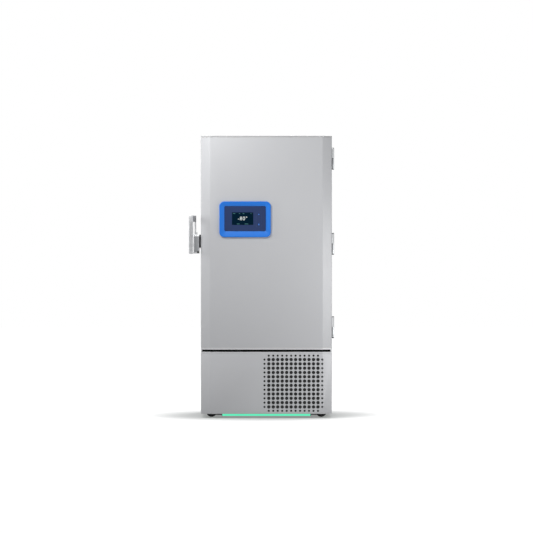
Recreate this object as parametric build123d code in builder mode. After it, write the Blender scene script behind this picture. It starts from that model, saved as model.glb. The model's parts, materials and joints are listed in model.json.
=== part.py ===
from build123d import *
from math import cos, radians, sin, tan
import os

# Upright ultra low temperature laboratory freezer, in millimetres. Z is up and the floor is z = 0.
# The front faces -Y. The origin lies under the middle of the overall box, so the cabinet stands a little
# to the right of it, because the handle reaches further out than the hinges. In the sketches, x counts
# from the cabinet's own centre line.

os.makedirs("parts", exist_ok=True)

# Overall sizes
overall_height = 1981
cabinet_width = 920
cabinet_depth = 780
door_thickness = 112
door_gap = 16  # from the door's back to the cabinet's front
handle_reach = 83  # how far the handle stands out past the cabinet's left side
hinge_reach = 18  # how far the hinges stand out past its right side
handle_proud = 40  # how far the grip stands in front of the door
spacer_depth = 24  # wall spacers behind the cabinet
sheet = 1.5  # painted steel sheet
touch_gap = 0.3  # soft pieces and their neighbours on another body
seam = 0.2  # between sheets that are folded and welded edge to edge
running_gap = 0.05  # radial play of a pin in its bore

# Heights of the front
cover_bottom = 30.5
cover_height = 434.5
cover_to_door = 15.5
deck_height = 470  # underside of the insulated box

# Bevelled edges that the door and the lower cover share
facet_width = 65
facet_depth = 26
facet_edge_radius = 8
crease_radius = 3

# Insulated box
side_wall = 90
ceiling_wall = 95
floor_wall = 105
back_wall = 105
collar_thickness = 8
side_return = 24  # how far the side panels turn in at the front
coil_thickness = 9
coil_height = 14
coil_levels = 7
coil_set_back = 70  # from the cabinet's front
coil_margin = 60  # from the liner's floor to the lowest turn
riser_x = -93
riser_width = 14
riser_end = 15  # how far the riser reaches below the deck
port_x = -250
port_drop = 186  # from the throat's top to the access port
port_radius = 16
port_wall = 3
port_rim = 8
stopper_length = 40
spacer_inset = 100
spacer_spread = 0.728  # of the insulated box's height

# Compartments
compartments = 4
frame_thickness = 6
stile_width = 24
hinge_stile_width = 36
rail_height = 16
pivot_ear = 6
inner_door_thickness = 22
inner_door_setback = 34  # from the cabinet's front to the inner doors
inner_seal = 4
inner_pivot_inset = 12
inner_pivot_radius = 4
inner_door_play = 0.7  # over and under each inner door
inner_panel_margin = 26
inner_panel_rise = 4
shelf_sheet = 1.5
shelf_clear = 10  # from the liner's back
shelf_lip = 18
pilaster_width = 22
pilaster_depth = 4

# Display
bezel_width = 361.3
bezel_height = 251
bezel_radius = 35
bezel_margin = 130.2  # from the door's left side
bezel_drop = 585.5  # from the door's top to the bezel's middle
bezel_proud = 14
bezel_rim = 7
glass_width = 289.6
glass_height = 175.5
glass_radius = 9
glass_rise = 5  # of its middle above the bezel's middle
glass_thickness = 3
module_width = 262
module_height = 152
module_depth = 39

# Grille in the lower cover
grille_columns = 12
grille_pitch_x = 31.36
grille_pitch_z = 30.2
grille_rows = 12
grille_margin = 97.9  # from the cover's right side to the last column
grille_rise = 49  # from the cover's bottom to the first row
grille_hole = 23.5
grille_small_hole = 14
grille_border_x = 30.2
grille_border_z = 27.4
hole_sides = 8
small_hole_sides = 6

# Plug on the inner face of the door
plug_depth = 40
plug_taper = 8
plug_gap = 12
plug_wall = 3
plug_radius = 30
flange_inset = 8

# Gasket
gasket_strip = 26
gasket_strip_depth = 3
gasket_bulb = 18

# Door hinges
hinge_margin = 79  # from the door's top and bottom
hinge_middle_drop = 6  # of the middle hinge below halfway
hinge_height = 154
hinge_split = 80  # height of the lower half
hinge_radius = 8.5
hinge_pin_radius = 4
hinge_leaf = 6
hinge_leaf_length = 62
hinge_gap = 0.6  # between the two halves
hinge_cap = 10  # of the upper half above the pin
cover_pivot_inset = 12
cover_pivot_radius = 4
bracket_sheet = 3
bracket_clear = 0.3  # between the brackets and the cover

# Latch
grip_width = 30
grip_depth = 26
grip_corner = 9
grip_shoulder = 14  # rounding of the outer top corner, seen from the front
grip_bottom = 1153
grip_top = 1421
arm_width = 11
arm_depth = 20
arm_corner = 4
arm_middle = 38.5  # from the cabinet's left side
knuckle_depth = 10
latch_bottom = 1156
latch_top = 1288
latch_width = 43
latch_length = 80
latch_setback = 12
latch_pad = 10.5
latch_pad_height = 91
latch_corner = 5
spindle_seat = 24  # from the housing's bottom to the spindle's end
spindle_x = 35  # from the cabinet's left side, outwards
spindle_y = 32  # from the door's front, backwards
spindle_radius = 6
hook_level = 1206
hook_height = 22
hook_width = 8
hook_gap = 0.8
keeper_radius = 5
keeper_x = 29
keeper_y = 20  # from the cabinet's front, backwards
keeper_ear = 6
unlatched_angle = 7
hub_radius = 11
bridge_height = 44
grip_flutes = 3
flute_pitch = 7.5
flute_width = 3.5
flute_depth = 2
flute_bottom = 1175
flute_top = 1375
lock_radius = 6.5
lock_length = 22
lock_x = 20
lock_z = 1165

# Casters
wheel_radius = 38
wheel_width = 24
wheel_side_gap = 1
caster_trail = 30
caster_inset_x = 102  # from the cabinet's side to the swivel
caster_inset = 78  # from its front or back
crown_height = 8
cup_radius = 20
cup_gap = 1
cup_height = 5
plate_thickness = 4
axle_radius = 4
king_pin_radius = 6
fork_sheet = 3
floor_pan_bottom = 98
floor_pan = 3
tray_height = 40

# Light bar
light_length = 618
light_housing_length = 708
light_bottom = 16.5
light_height = 13.5
light_setback = 5
light_depth = 34
light_end_height = 7
lens_depth = 8
bracket_x = 150
bracket_width = 30

# Machinery
compressor_radius = 92
compressor_clear = 133  # from its top to the deck
compressor_dome = 62
mount_height = 18
foot_span = 150
foot_sheet = 4
port_height = 12
fan_side_margin = 250  # from the cabinet's right side to the fan's middle
condenser_width = 384
condenser_clear = 47  # from its top to the deck
header_radius = 10
condenser_tubes = 12
shroud_wall = 3
ring_depth = 46
fan_blades = 5
blade_chord = 62
blade_pitch = 32
blade_rise = 8
blade_thickness = 2.5
fan_hub_radius = 34
fan_shaft_radius = 4
motor_radius = 40
motor_length = 72
exchanger_x = -180
exchanger_setback = 590
exchanger_clear = 89  # from its top to the deck
exchanger_ribs = 9
tube_radius = 5
line_clear = 22  # from the deck down to the copper lines
control_height = 150
filter_depth = 12
filter_border = 16

# Mains inlet
inlet_margin = 130  # from the cabinet's left side
inlet_z = 190
inlet_width = 86
inlet_height = 46
inlet_body_width = 74
inlet_body_height = 34
rocker_width = 12.4
rocker_window = 13
rocker_window_height = 24
rocker_tilt = 10
louvre_pitch = 24
louvre_rows = 10

# Places worked out from the sizes above
overall_depth = handle_proud + door_thickness + door_gap + cabinet_depth + spacer_depth
cabinet_x = (handle_reach - hinge_reach) / 2
door_front = -overall_depth / 2 + handle_proud
door_back = door_front + door_thickness
cabinet_front = door_back + door_gap
cabinet_back = cabinet_front + cabinet_depth
half_width = cabinet_width / 2
inside_half = half_width - sheet
cover_top = cover_bottom + cover_height
door_bottom = cover_top + cover_to_door
throat_half = half_width - side_wall
throat_low = deck_height + floor_wall
throat_high = overall_height - ceiling_wall
throat_height = throat_high - throat_low
throat_middle = (throat_high + throat_low) / 2
liner_back = cabinet_back - back_wall
pan_top = floor_pan_bottom + floor_pan
hinge_x = half_width + hinge_reach - hinge_radius
hinge_y = (door_back + cabinet_front) / 2
hinge_low = door_bottom + hinge_margin - 0.5
hinge_high = overall_height - hinge_margin - hinge_height
hinge_levels = (hinge_high, (hinge_low + hinge_high) / 2 - hinge_middle_drop, hinge_low)
bezel_x = -half_width + bezel_margin + bezel_width / 2
bezel_z = overall_height - bezel_drop
glass_z = bezel_z + glass_rise
caster_x = half_width - caster_inset_x
condenser_height = deck_height - condenser_clear - pan_top
fan_radius = condenser_height / 2 - 26
fan_x = half_width - fan_side_margin
fan_z = pan_top + condenser_height / 2 + 10
foot_bottom = pan_top + mount_height
compressor_height = deck_height - compressor_clear - foot_bottom


def level(height):
    """A horizontal sketch plane on the cabinet's centre line."""
    return Plane(origin=(cabinet_x, 0, height))


def upright(y):
    """A sketch plane seen from the front: x to the right, z up, normal towards the front."""
    return Plane(origin=(cabinet_x, y, 0), x_dir=(1, 0, 0), z_dir=(0, -1, 0))


def sideways(x):
    """A sketch plane seen from the right: y to the back, z up, normal to the right."""
    return Plane(origin=(cabinet_x + x, 0, 0), x_dir=(0, 1, 0), z_dir=(1, 0, 0))


def patch(x_low, x_high, y_low, y_high, mode=Mode.ADD):
    """A rectangle between two corners of the current sketch."""
    with Locations(((x_low + x_high) / 2, (y_low + y_high) / 2)):
        Rectangle(x_high - x_low, y_high - y_low, mode=mode)


# Casings of the cabinet
riser_low = riser_x - riser_width / 2
riser_high = riser_x + riser_width / 2
port_z = throat_high - port_drop
coil_inner_back = liner_back + sheet
coil_outer_back = coil_inner_back + coil_thickness

with BuildPart() as cabinet_shell:
    for side in (-1, 1):
        with BuildSketch(level(cover_bottom)):
            patch(*sorted((side * inside_half, side * half_width)), cabinet_front, cabinet_back)
        extrude(amount=overall_height - sheet - seam - cover_bottom)
        with BuildSketch(level(cover_bottom)):
            patch(*sorted((side * (half_width - side_return), side * half_width)),
                  cabinet_front, cabinet_front + sheet)
        extrude(amount=deck_height - sheet - seam - cover_bottom)
    with BuildSketch(level(overall_height - sheet)):
        patch(-half_width, half_width, cabinet_front, cabinet_back)
    extrude(amount=sheet)
    with BuildSketch(level(deck_height - sheet)):
        patch(-inside_half + seam, inside_half - seam, cabinet_front, cabinet_back - sheet)
        patch(riser_low, riser_high, coil_inner_back, coil_outer_back, mode=Mode.SUBTRACT)
    extrude(amount=sheet)
cabinet_shell.part.label = "cabinet_shell"
export_step(cabinet_shell.part, "parts/cabinet_shell.step")

with BuildPart() as cabinet_back_panel:
    with BuildSketch(upright(cabinet_back)):
        patch(-inside_half, inside_half, deck_height, overall_height - sheet)
        with Locations((port_x, port_z)):
            Circle(port_radius, mode=Mode.SUBTRACT)
    extrude(amount=sheet)
cabinet_back_panel.part.label = "cabinet_back_panel"
export_step(cabinet_back_panel.part, "parts/cabinet_back_panel.step")

# Evaporator: a flattened tube round three sides of the liner, which runs back and forth from the top down
coil_half_inner = throat_half + sheet
coil_half_outer = coil_half_inner + coil_thickness
coil_front = cabinet_front + coil_set_back
coil_first = throat_low + coil_margin
coil_pitch = (throat_height - 2 * coil_margin - coil_height) / (coil_levels - 1)

with BuildPart() as evaporator_coil:
    for turn in range(coil_levels):
        turn_z = coil_first + turn * coil_pitch
        with BuildSketch(level(turn_z)):
            patch(-coil_half_outer, coil_half_outer, coil_front, coil_outer_back)
            patch(-coil_half_inner, coil_half_inner, coil_front, coil_inner_back, mode=Mode.SUBTRACT)
        extrude(amount=coil_height)
        if turn + 1 < coil_levels:
            side = 1 if turn % 2 else -1
            with BuildSketch(level(turn_z)):
                patch(*sorted((side * coil_half_inner, side * coil_half_outer)),
                      coil_front, coil_front + coil_height)
            extrude(amount=coil_pitch)
    with BuildSketch(level(deck_height - riser_end)):
        patch(riser_low, riser_high, coil_inner_back, coil_outer_back)
    extrude(amount=coil_first + coil_height - deck_height + riser_end)
evaporator_coil.part.label = "evaporator_coil"
export_step(evaporator_coil.part, "parts/evaporator_coil.step")

# Foam between the casings and the liner, with room for the coil
foam_front = cabinet_front + collar_thickness
with BuildPart() as cabinet_insulation:
    with BuildSketch(upright(foam_front)):
        patch(-inside_half, inside_half, deck_height, overall_height - sheet)
    extrude(amount=-(cabinet_back - sheet - foam_front))
    with BuildSketch(upright(foam_front)):
        patch(-coil_half_outer, coil_half_outer, throat_low - sheet, throat_high + sheet)
    extrude(amount=-(coil_outer_back - foam_front), mode=Mode.SUBTRACT)
    with BuildSketch(level(deck_height)):
        patch(riser_low, riser_high, coil_inner_back, coil_outer_back)
    extrude(amount=floor_wall, mode=Mode.SUBTRACT)
    with BuildSketch(upright(cabinet_back)):
        with Locations((port_x, port_z)):
            Circle(port_radius)
    extrude(amount=back_wall, mode=Mode.SUBTRACT)
cabinet_insulation.part.label = "cabinet_insulation"
export_step(cabinet_insulation.part, "parts/cabinet_insulation.step")

# Liner: five welded sheets
with BuildPart() as inner_liner:
    for side in (-1, 1):
        with BuildSketch(upright(foam_front)):
            patch(*sorted((side * throat_half, side * coil_half_inner)), throat_low, throat_high)
        extrude(amount=-(liner_back - foam_front))
    for low in (throat_low - sheet, throat_high + seam):
        with BuildSketch(upright(foam_front)):
            patch(-coil_half_inner, coil_half_inner, low, low + sheet - seam)
        extrude(amount=-(liner_back - foam_front))
    with BuildSketch(upright(liner_back + seam)):
        patch(-coil_half_inner, coil_half_inner, throat_low - sheet, throat_high + sheet)
        with Locations((port_x, port_z)):
            Circle(port_radius, mode=Mode.SUBTRACT)
    extrude(amount=-(sheet - seam))
inner_liner.part.label = "inner_liner"
export_step(inner_liner.part, "parts/inner_liner.step")

# Moulded collar that the door's gasket closes on
with BuildPart() as throat_collar:
    with BuildSketch(upright(cabinet_front)):
        patch(-inside_half, inside_half, deck_height, overall_height - sheet)
        patch(-throat_half, throat_half, throat_low, throat_high, mode=Mode.SUBTRACT)
    extrude(amount=-collar_thickness)
throat_collar.part.label = "throat_collar"
export_step(throat_collar.part, "parts/throat_collar.step")

with BuildPart() as access_port:
    with BuildSketch(upright(liner_back)):
        with Locations((port_x, port_z)):
            Circle(port_radius)
            Circle(port_radius - port_wall, mode=Mode.SUBTRACT)
    extrude(amount=-(cabinet_back - liner_back))
    with BuildSketch(upright(cabinet_back)):
        with Locations((port_x, port_z)):
            Circle(port_radius + port_rim)
            Circle(port_radius - port_wall, mode=Mode.SUBTRACT)
    extrude(amount=-port_wall)
    with BuildSketch(upright(cabinet_back - stopper_length)):
        with Locations((port_x, port_z)):
            Circle(port_radius - port_wall)
    extrude(amount=-(stopper_length + spacer_depth / 2))
access_port.part.label = "access_port"
export_step(access_port.part, "parts/access_port.step")

with BuildPart() as wall_spacers:
    with BuildSketch(upright(cabinet_back)):
        with Locations((0, (deck_height + overall_height) / 2)):
            with GridLocations(cabinet_width - 2 * spacer_inset,
                               (overall_height - deck_height) * spacer_spread, 2, 2):
                RectangleRounded(60, 40, 10)
    extrude(amount=-spacer_depth, taper=12)
wall_spacers.part.label = "wall_spacers"
export_step(wall_spacers.part, "parts/wall_spacers.step")

# Inside the compartments: a ladder frame with a pivot ear at each rail, seals, shelves and their strips
frame_front = cabinet_front + inner_door_setback + inner_door_thickness + inner_seal + touch_gap
frame_back = frame_front + frame_thickness
rail_first = throat_low + pivot_ear / 2
rail_pitch = (throat_height - pivot_ear) / compartments
rails = [rail_first + i * rail_pitch for i in range(compartments + 1)]
window_left = -throat_half + stile_width
window_right = throat_half - hinge_stile_width
inner_pivot_x = throat_half - inner_pivot_inset
inner_pivot_y = cabinet_front + inner_door_setback + inner_pivot_radius


def inner_windows(grow=0.0, mode=Mode.ADD):
    """The openings of the ladder frame, as rectangles of the current sketch."""
    for low, high in zip(rails, rails[1:]):
        patch(window_left - grow, window_right + grow, low + rail_height / 2 - grow,
              high - rail_height / 2 + grow, mode=mode)


with BuildPart() as inner_door_frame:
    with BuildSketch(upright(frame_front)):
        patch(-throat_half, throat_half, throat_low, throat_high)
        inner_windows(mode=Mode.SUBTRACT)
    extrude(amount=-frame_thickness)
    for rail in rails:
        with BuildSketch(level(rail - pivot_ear / 2)):
            patch(inner_pivot_x - 2 * inner_pivot_radius, throat_half,
                  inner_pivot_y - 2 * inner_pivot_radius, frame_front)
            with Locations((inner_pivot_x, inner_pivot_y)):
                Circle(inner_pivot_radius + running_gap, mode=Mode.SUBTRACT)
        extrude(amount=pivot_ear)
inner_door_frame.part.label = "inner_door_frame"
export_step(inner_door_frame.part, "parts/inner_door_frame.step")

seal_width = rail_height / 2 - 1
with BuildPart() as inner_door_seals:
    with BuildSketch(upright(frame_front)):
        inner_windows(grow=seal_width)
        inner_windows(mode=Mode.SUBTRACT)
    extrude(amount=inner_seal)
inner_door_seals.part.label = "inner_door_seals"
export_step(inner_door_seals.part, "parts/inner_door_seals.step")

pilaster_ys = (frame_back + 60, liner_back - 90)
with BuildPart() as shelf_pilasters:
    for y in pilaster_ys:
        with BuildSketch(level(throat_low)):
            for side in (-1, 1):
                patch(*sorted((side * throat_half, side * (throat_half - pilaster_depth))),
                      y - pilaster_width / 2, y + pilaster_width / 2)
        extrude(amount=throat_height)
shelf_pilasters.part.label = "shelf_pilasters"
export_step(shelf_pilasters.part, "parts/shelf_pilasters.step")

shelf_half = throat_half - pilaster_depth
for number, rail in enumerate(rails[1:-1], start=1):
    with BuildPart() as shelf:
        with BuildSketch(sideways(-shelf_half)):
            patch(frame_back, liner_back - shelf_clear, rail - shelf_lip, rail)
            patch(frame_back + shelf_sheet, liner_back - shelf_clear - shelf_sheet,
                  rail - shelf_lip, rail - shelf_sheet, mode=Mode.SUBTRACT)
        extrude(amount=2 * shelf_half)
    shelf.part.label = f"shelf_{number}"
    export_step(shelf.part, f"parts/shelf_{number}.step")

inner_door_left = -throat_half + 4
inner_door_right = inner_pivot_x + 6
pin_reach = pivot_ear / 2 - seam
for number, (low, high) in enumerate(zip(rails, rails[1:]), start=1):
    door_low = low + pivot_ear / 2 + inner_door_play
    door_high = high - pivot_ear / 2 - inner_door_play
    with BuildPart() as inner_door:
        with BuildSketch(upright(cabinet_front + inner_door_setback + inner_door_thickness)):
            patch(inner_door_left, inner_door_right, door_low, door_high)
        extrude(amount=inner_door_thickness - inner_panel_rise)
        with BuildSketch(upright(cabinet_front + inner_door_setback + inner_panel_rise)):
            patch(inner_door_left + inner_panel_margin, inner_door_right - inner_panel_margin,
                  door_low + inner_panel_margin, door_high - inner_panel_margin)
        extrude(amount=inner_panel_rise, taper=30)
        with BuildSketch(upright(cabinet_front + inner_door_setback + inner_panel_rise)):
            with Locations((inner_door_left + inner_panel_margin / 2, (door_low + door_high) / 2)):
                SlotOverall(90, 14, rotation=90)
        extrude(amount=inner_panel_rise + 2)
        with BuildSketch(level(door_low - inner_door_play - pin_reach)):
            with Locations((inner_pivot_x, inner_pivot_y)):
                Circle(inner_pivot_radius)
        extrude(amount=door_high - door_low + 2 * (inner_door_play + pin_reach))
    inner_door.part.label = f"inner_door_{number}"
    export_step(inner_door.part, f"parts/inner_door_{number}.step")

# Door and lower cover share one plan: flat front, a bevelled facet on each side, square back
with BuildSketch() as bevelled_plan:
    with BuildLine():
        Polyline((-half_width, door_back), (-half_width, door_front + facet_depth),
                 (-half_width + facet_width, door_front), (half_width - facet_width, door_front),
                 (half_width, door_front + facet_depth), (half_width, door_back), close=True)
    make_face()
    front_corners = bevelled_plan.vertices().filter_by_position(Axis.Y, door_front - 1, door_front + 1)
    fillet(front_corners, crease_radius)
    edge_corners = bevelled_plan.vertices().filter_by_position(
        Axis.Y, door_front + facet_depth - 0.1, door_front + facet_depth + 0.1)
    fillet(edge_corners, facet_edge_radius)


def bevelled_block(bottom, top, inset=0.0, mode=Mode.ADD):
    """The bevelled plan between two heights, inset on the front and sides."""
    with BuildSketch(level(bottom)) as plan:
        add(bevelled_plan.sketch)
        if inset:
            offset(amount=-inset)
            patch(-half_width + inset, half_width - inset, door_back - 3 * inset, door_back)
    extrude(plan.sketch, amount=top - bottom, mode=mode)


window_width = module_width + 2
window_height = module_height + 2
module_back = door_front - 1 + module_depth

with BuildPart() as door_skin:
    bevelled_block(door_bottom, overall_height)
    bevelled_block(door_bottom + sheet, overall_height - sheet, inset=sheet, mode=Mode.SUBTRACT)
    with BuildSketch(upright(door_front)):
        with Locations((bezel_x, glass_z)):
            Rectangle(window_width, window_height)
    extrude(amount=-sheet, mode=Mode.SUBTRACT)
door_skin.part.label = "door_skin"
export_step(door_skin.part, "parts/door_skin.step")

# Inner face of the door: a flat flange and a hollow tapered plug that fills the throat
plug_half = throat_half - plug_gap
plug_height = throat_height - 2 * plug_gap


def plug_shape(inset, depth, mode=Mode.ADD):
    """A tapered rounded block from the door's back into the throat."""
    lean = depth * tan(radians(plug_taper))
    with BuildSketch(upright(door_back)) as root_outline:
        with Locations((0, throat_middle)):
            RectangleRounded(2 * (plug_half - inset), plug_height - 2 * inset, plug_radius - inset)
    with BuildSketch(upright(door_back + depth)) as tip_outline:
        with Locations((0, throat_middle)):
            RectangleRounded(2 * (plug_half - inset - lean), plug_height - 2 * (inset + lean),
                             plug_radius - inset)
    loft([root_outline.sketch.face(), tip_outline.sketch.face()], mode=mode)


with BuildPart() as door_inner_panel:
    with BuildSketch(upright(door_back)):
        patch(-half_width + flange_inset, half_width - flange_inset,
              door_bottom + flange_inset, overall_height - flange_inset)
    extrude(amount=-plug_wall)
    plug_shape(0, plug_wall + plug_depth)
    plug_shape(plug_wall, plug_depth, mode=Mode.SUBTRACT)
door_inner_panel.part.label = "door_inner_panel"
export_step(door_inner_panel.part, "parts/door_inner_panel.step")

with BuildPart() as door_insulation:
    bevelled_block(door_bottom + sheet, overall_height - sheet, inset=sheet)
    plug_shape(plug_wall, plug_depth)
    with BuildSketch(upright(door_front)):
        with Locations((bezel_x, glass_z)):
            Rectangle(window_width, window_height)
    extrude(amount=-(module_back - door_front), mode=Mode.SUBTRACT)
door_insulation.part.label = "door_insulation"
export_step(door_insulation.part, "parts/door_insulation.step")

# Gasket: a fixing strip and a softer bellows that meets the collar
gasket_middle = throat_half + side_wall * 0.31
gasket_depth = door_gap - plug_wall - touch_gap


def gasket_ring(width):
    """A closed band of the gasket as a sketch, centred on its line round the throat."""
    reach = gasket_middle - throat_half
    with Locations((0, throat_middle)):
        RectangleRounded(2 * gasket_middle + width, throat_height + 2 * reach + width, width)
        RectangleRounded(2 * gasket_middle - width, throat_height + 2 * reach - width, width / 3,
                         mode=Mode.SUBTRACT)


with BuildPart() as door_gasket:
    with BuildSketch(upright(door_back + plug_wall)):
        gasket_ring(gasket_strip)
    extrude(amount=-gasket_strip_depth)
    with BuildSketch(upright(door_back + plug_wall + gasket_strip_depth)):
        gasket_ring(gasket_bulb)
    extrude(amount=-(gasket_depth - gasket_strip_depth))
door_gasket.part.label = "door_gasket"
export_step(door_gasket.part, "parts/door_gasket.step")

# Display: a dished frame on the door's front, its glass, and the electronics behind
dish_depth = bezel_proud - 1
with BuildPart() as display_bezel:
    with BuildSketch(upright(door_front)):
        with Locations((bezel_x, bezel_z)):
            RectangleRounded(bezel_width, bezel_height, bezel_radius)
    extrude(amount=bezel_proud)
    fillet(display_bezel.faces().sort_by(Axis.Y)[0].edges(), 3)
    with BuildSketch(upright(door_front - bezel_proud)):
        with Locations((bezel_x, bezel_z)):
            RectangleRounded(bezel_width - 2 * bezel_rim, bezel_height - 2 * bezel_rim,
                             bezel_radius - bezel_rim)
    with BuildSketch(upright(door_front - bezel_proud + dish_depth)):
        with Locations((bezel_x, glass_z)):
            RectangleRounded(glass_width, glass_height, glass_radius)
    loft(mode=Mode.SUBTRACT)
    with BuildSketch(upright(door_front)):
        with Locations((bezel_x, glass_z)):
            RectangleRounded(glass_width, glass_height, glass_radius)
    extrude(amount=bezel_proud, mode=Mode.SUBTRACT)
display_bezel.part.label = "display_bezel"
export_step(display_bezel.part, "parts/display_bezel.step")

with BuildPart() as display_glass:
    with BuildSketch(upright(door_front - 1)):
        with Locations((bezel_x, glass_z)):
            RectangleRounded(glass_width, glass_height, glass_radius)
    extrude(amount=glass_thickness)
display_glass.part.label = "display_glass"
export_step(display_glass.part, "parts/display_glass.step")

with BuildPart() as display_module:
    with BuildSketch(upright(door_front - 1)):
        with Locations((bezel_x, glass_z)):
            Rectangle(module_width, module_height)
    extrude(amount=-module_depth)
    with BuildSketch(upright(module_back)):
        with Locations((bezel_x, glass_z)):
            with GridLocations(40, 40, 5, 3):
                Rectangle(28, 4)
    extrude(amount=3, mode=Mode.SUBTRACT)
display_module.part.label = "display_module"
export_step(display_module.part, "parts/display_module.step")

# Door hinges: an upper half on the door that lifts off a pin in the lower half on the cabinet
def hinge_outline(side_sign, bore):
    """Plan of one hinge half: the leaf along the side, swelling into the knuckle."""
    with BuildSketch() as plan:
        y_far = hinge_y + side_sign * (door_gap / 2 + hinge_leaf_length)
        y_near = hinge_y + side_sign * (door_gap / 2 + 1)
        with BuildLine():
            Polyline((half_width, y_near), (half_width, y_far), (half_width + hinge_leaf, y_far),
                     (half_width + hinge_reach, y_near + side_sign * 12),
                     (half_width + hinge_reach, hinge_y), (hinge_x - hinge_radius, hinge_y), close=True)
        make_face()
        with Locations((hinge_x, hinge_y)):
            Circle(hinge_radius)
            Circle(bore, mode=Mode.SUBTRACT)
    return plan.sketch


with BuildPart() as door_hinge_leaves:
    for hinge_level in hinge_levels:
        with BuildSketch(level(hinge_level + hinge_split + hinge_gap)):
            add(hinge_outline(-1, hinge_pin_radius + running_gap))
        extrude(amount=hinge_height - hinge_split - hinge_gap)
door_hinge_leaves.part.label = "door_hinge_leaves"
export_step(door_hinge_leaves.part, "parts/door_hinge_leaves.step")

# The same node of the cabinet carries the two brackets that the lower cover turns on
cover_pivot_x = half_width - cover_pivot_inset
cover_pivot_y = door_back - cover_pivot_inset
upper_tab = cover_top + bracket_clear
lower_tab = cover_bottom - bracket_clear - bracket_sheet

with BuildPart() as cabinet_hinge_leaves:
    for hinge_level in hinge_levels:
        with BuildSketch(level(hinge_level)):
            add(hinge_outline(1, hinge_pin_radius))
        extrude(amount=hinge_split)
    for tab_bottom, pin_bottom in ((upper_tab, cover_top - 7), (lower_tab, lower_tab)):
        with BuildSketch(level(tab_bottom)):
            patch(half_width - side_return + 2, half_width - 2, cover_pivot_y, cabinet_front)
            with Locations((cover_pivot_x, cover_pivot_y)):
                Circle(10)
        extrude(amount=bracket_sheet)
        with BuildSketch(level(pin_bottom)):
            with Locations((cover_pivot_x, cover_pivot_y)):
                Circle(cover_pivot_radius)
        extrude(amount=10)
    for plate_low, plate_high in ((cover_top - 25, upper_tab + bracket_sheet),
                                  (lower_tab, cover_bottom + 30)):
        with BuildSketch(upright(cabinet_front)):
            patch(half_width - side_return + 2, half_width - 2, plate_low, plate_high)
        extrude(amount=bracket_sheet)
cabinet_hinge_leaves.part.label = "cabinet_hinge_leaves"
export_step(cabinet_hinge_leaves.part, "parts/cabinet_hinge_leaves.step")

with BuildPart() as hinge_pins:
    for hinge_level in hinge_levels:
        with BuildSketch(level(hinge_level)):
            with Locations((hinge_x, hinge_y)):
                Circle(hinge_pin_radius)
        extrude(amount=hinge_height - hinge_cap)
hinge_pins.part.label = "hinge_pins"
export_step(hinge_pins.part, "parts/hinge_pins.step")

# Latch: a housing on the door's left side, a grip on a spindle, a hook on the same spindle, a keeper
handle_plane_x = cabinet_x - half_width


def beside(height):
    """A horizontal sketch plane whose origin is the front left corner line of the closed door."""
    return Plane(origin=(handle_plane_x, door_front, height))


def beside_upright(y):
    """A sketch plane seen from the front, with x from the cabinet's left side."""
    return Plane(origin=(handle_plane_x, y, 0), x_dir=(1, 0, 0), z_dir=(0, -1, 0))


slot_front = spindle_y - hub_radius - 3
with BuildPart() as latch_housing:
    with BuildSketch(beside(latch_bottom)) as housing_plan:
        patch(-latch_pad - latch_width, -latch_pad, latch_setback, latch_setback + latch_length)
        fillet(housing_plan.vertices().group_by(Axis.Y)[0], latch_corner)
    extrude(amount=latch_top - latch_bottom)
    with BuildSketch(beside(latch_top - latch_pad_height)):
        patch(-latch_pad, 0, facet_depth + facet_edge_radius + 2, latch_setback + latch_length)
    extrude(amount=latch_pad_height)
    with BuildSketch(beside(hook_level - 1)):
        patch(-latch_pad - latch_width, -latch_pad - 4.5, slot_front, latch_setback + latch_length)
    extrude(amount=hook_height + 2, mode=Mode.SUBTRACT)
    with BuildSketch(beside(latch_bottom + spindle_seat)):
        with Locations((-spindle_x, spindle_y)):
            Circle(spindle_radius + running_gap)
    extrude(amount=latch_top - latch_bottom - spindle_seat, mode=Mode.SUBTRACT)
    with BuildSketch(beside_upright(door_front + latch_setback)):
        with Locations((-lock_x, lock_z)):
            Circle(lock_radius + running_gap)
    extrude(amount=-lock_length, mode=Mode.SUBTRACT)
latch_housing.part.label = "latch_housing"
export_step(latch_housing.part, "parts/latch_housing.step")

with BuildPart() as lock_cylinder:
    with BuildSketch(beside_upright(door_front + latch_setback + lock_length)):
        with Locations((-lock_x, lock_z)):
            Circle(lock_radius)
    extrude(amount=lock_length)
    with BuildSketch(beside_upright(door_front + latch_setback)):
        with Locations((-lock_x, lock_z)):
            Circle(lock_radius + 1)
    extrude(amount=2)
    with BuildSketch(beside_upright(door_front + latch_setback - 2)):
        with Locations((-lock_x, lock_z)):
            SlotOverall(8, 1.8, rotation=90)
    extrude(amount=-8, mode=Mode.SUBTRACT)
lock_cylinder.part.label = "lock_cylinder"
export_step(lock_cylinder.part, "parts/lock_cylinder.step")

# Handle: an upside-down U, whose front leg is the fluted grip and whose back leg stands on the spindle
grip_x = -handle_reach + grip_width / 2
grip_y = -handle_proud + grip_depth / 2
arm_x = -arm_middle
arm_bottom = latch_top + 0.5

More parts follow.
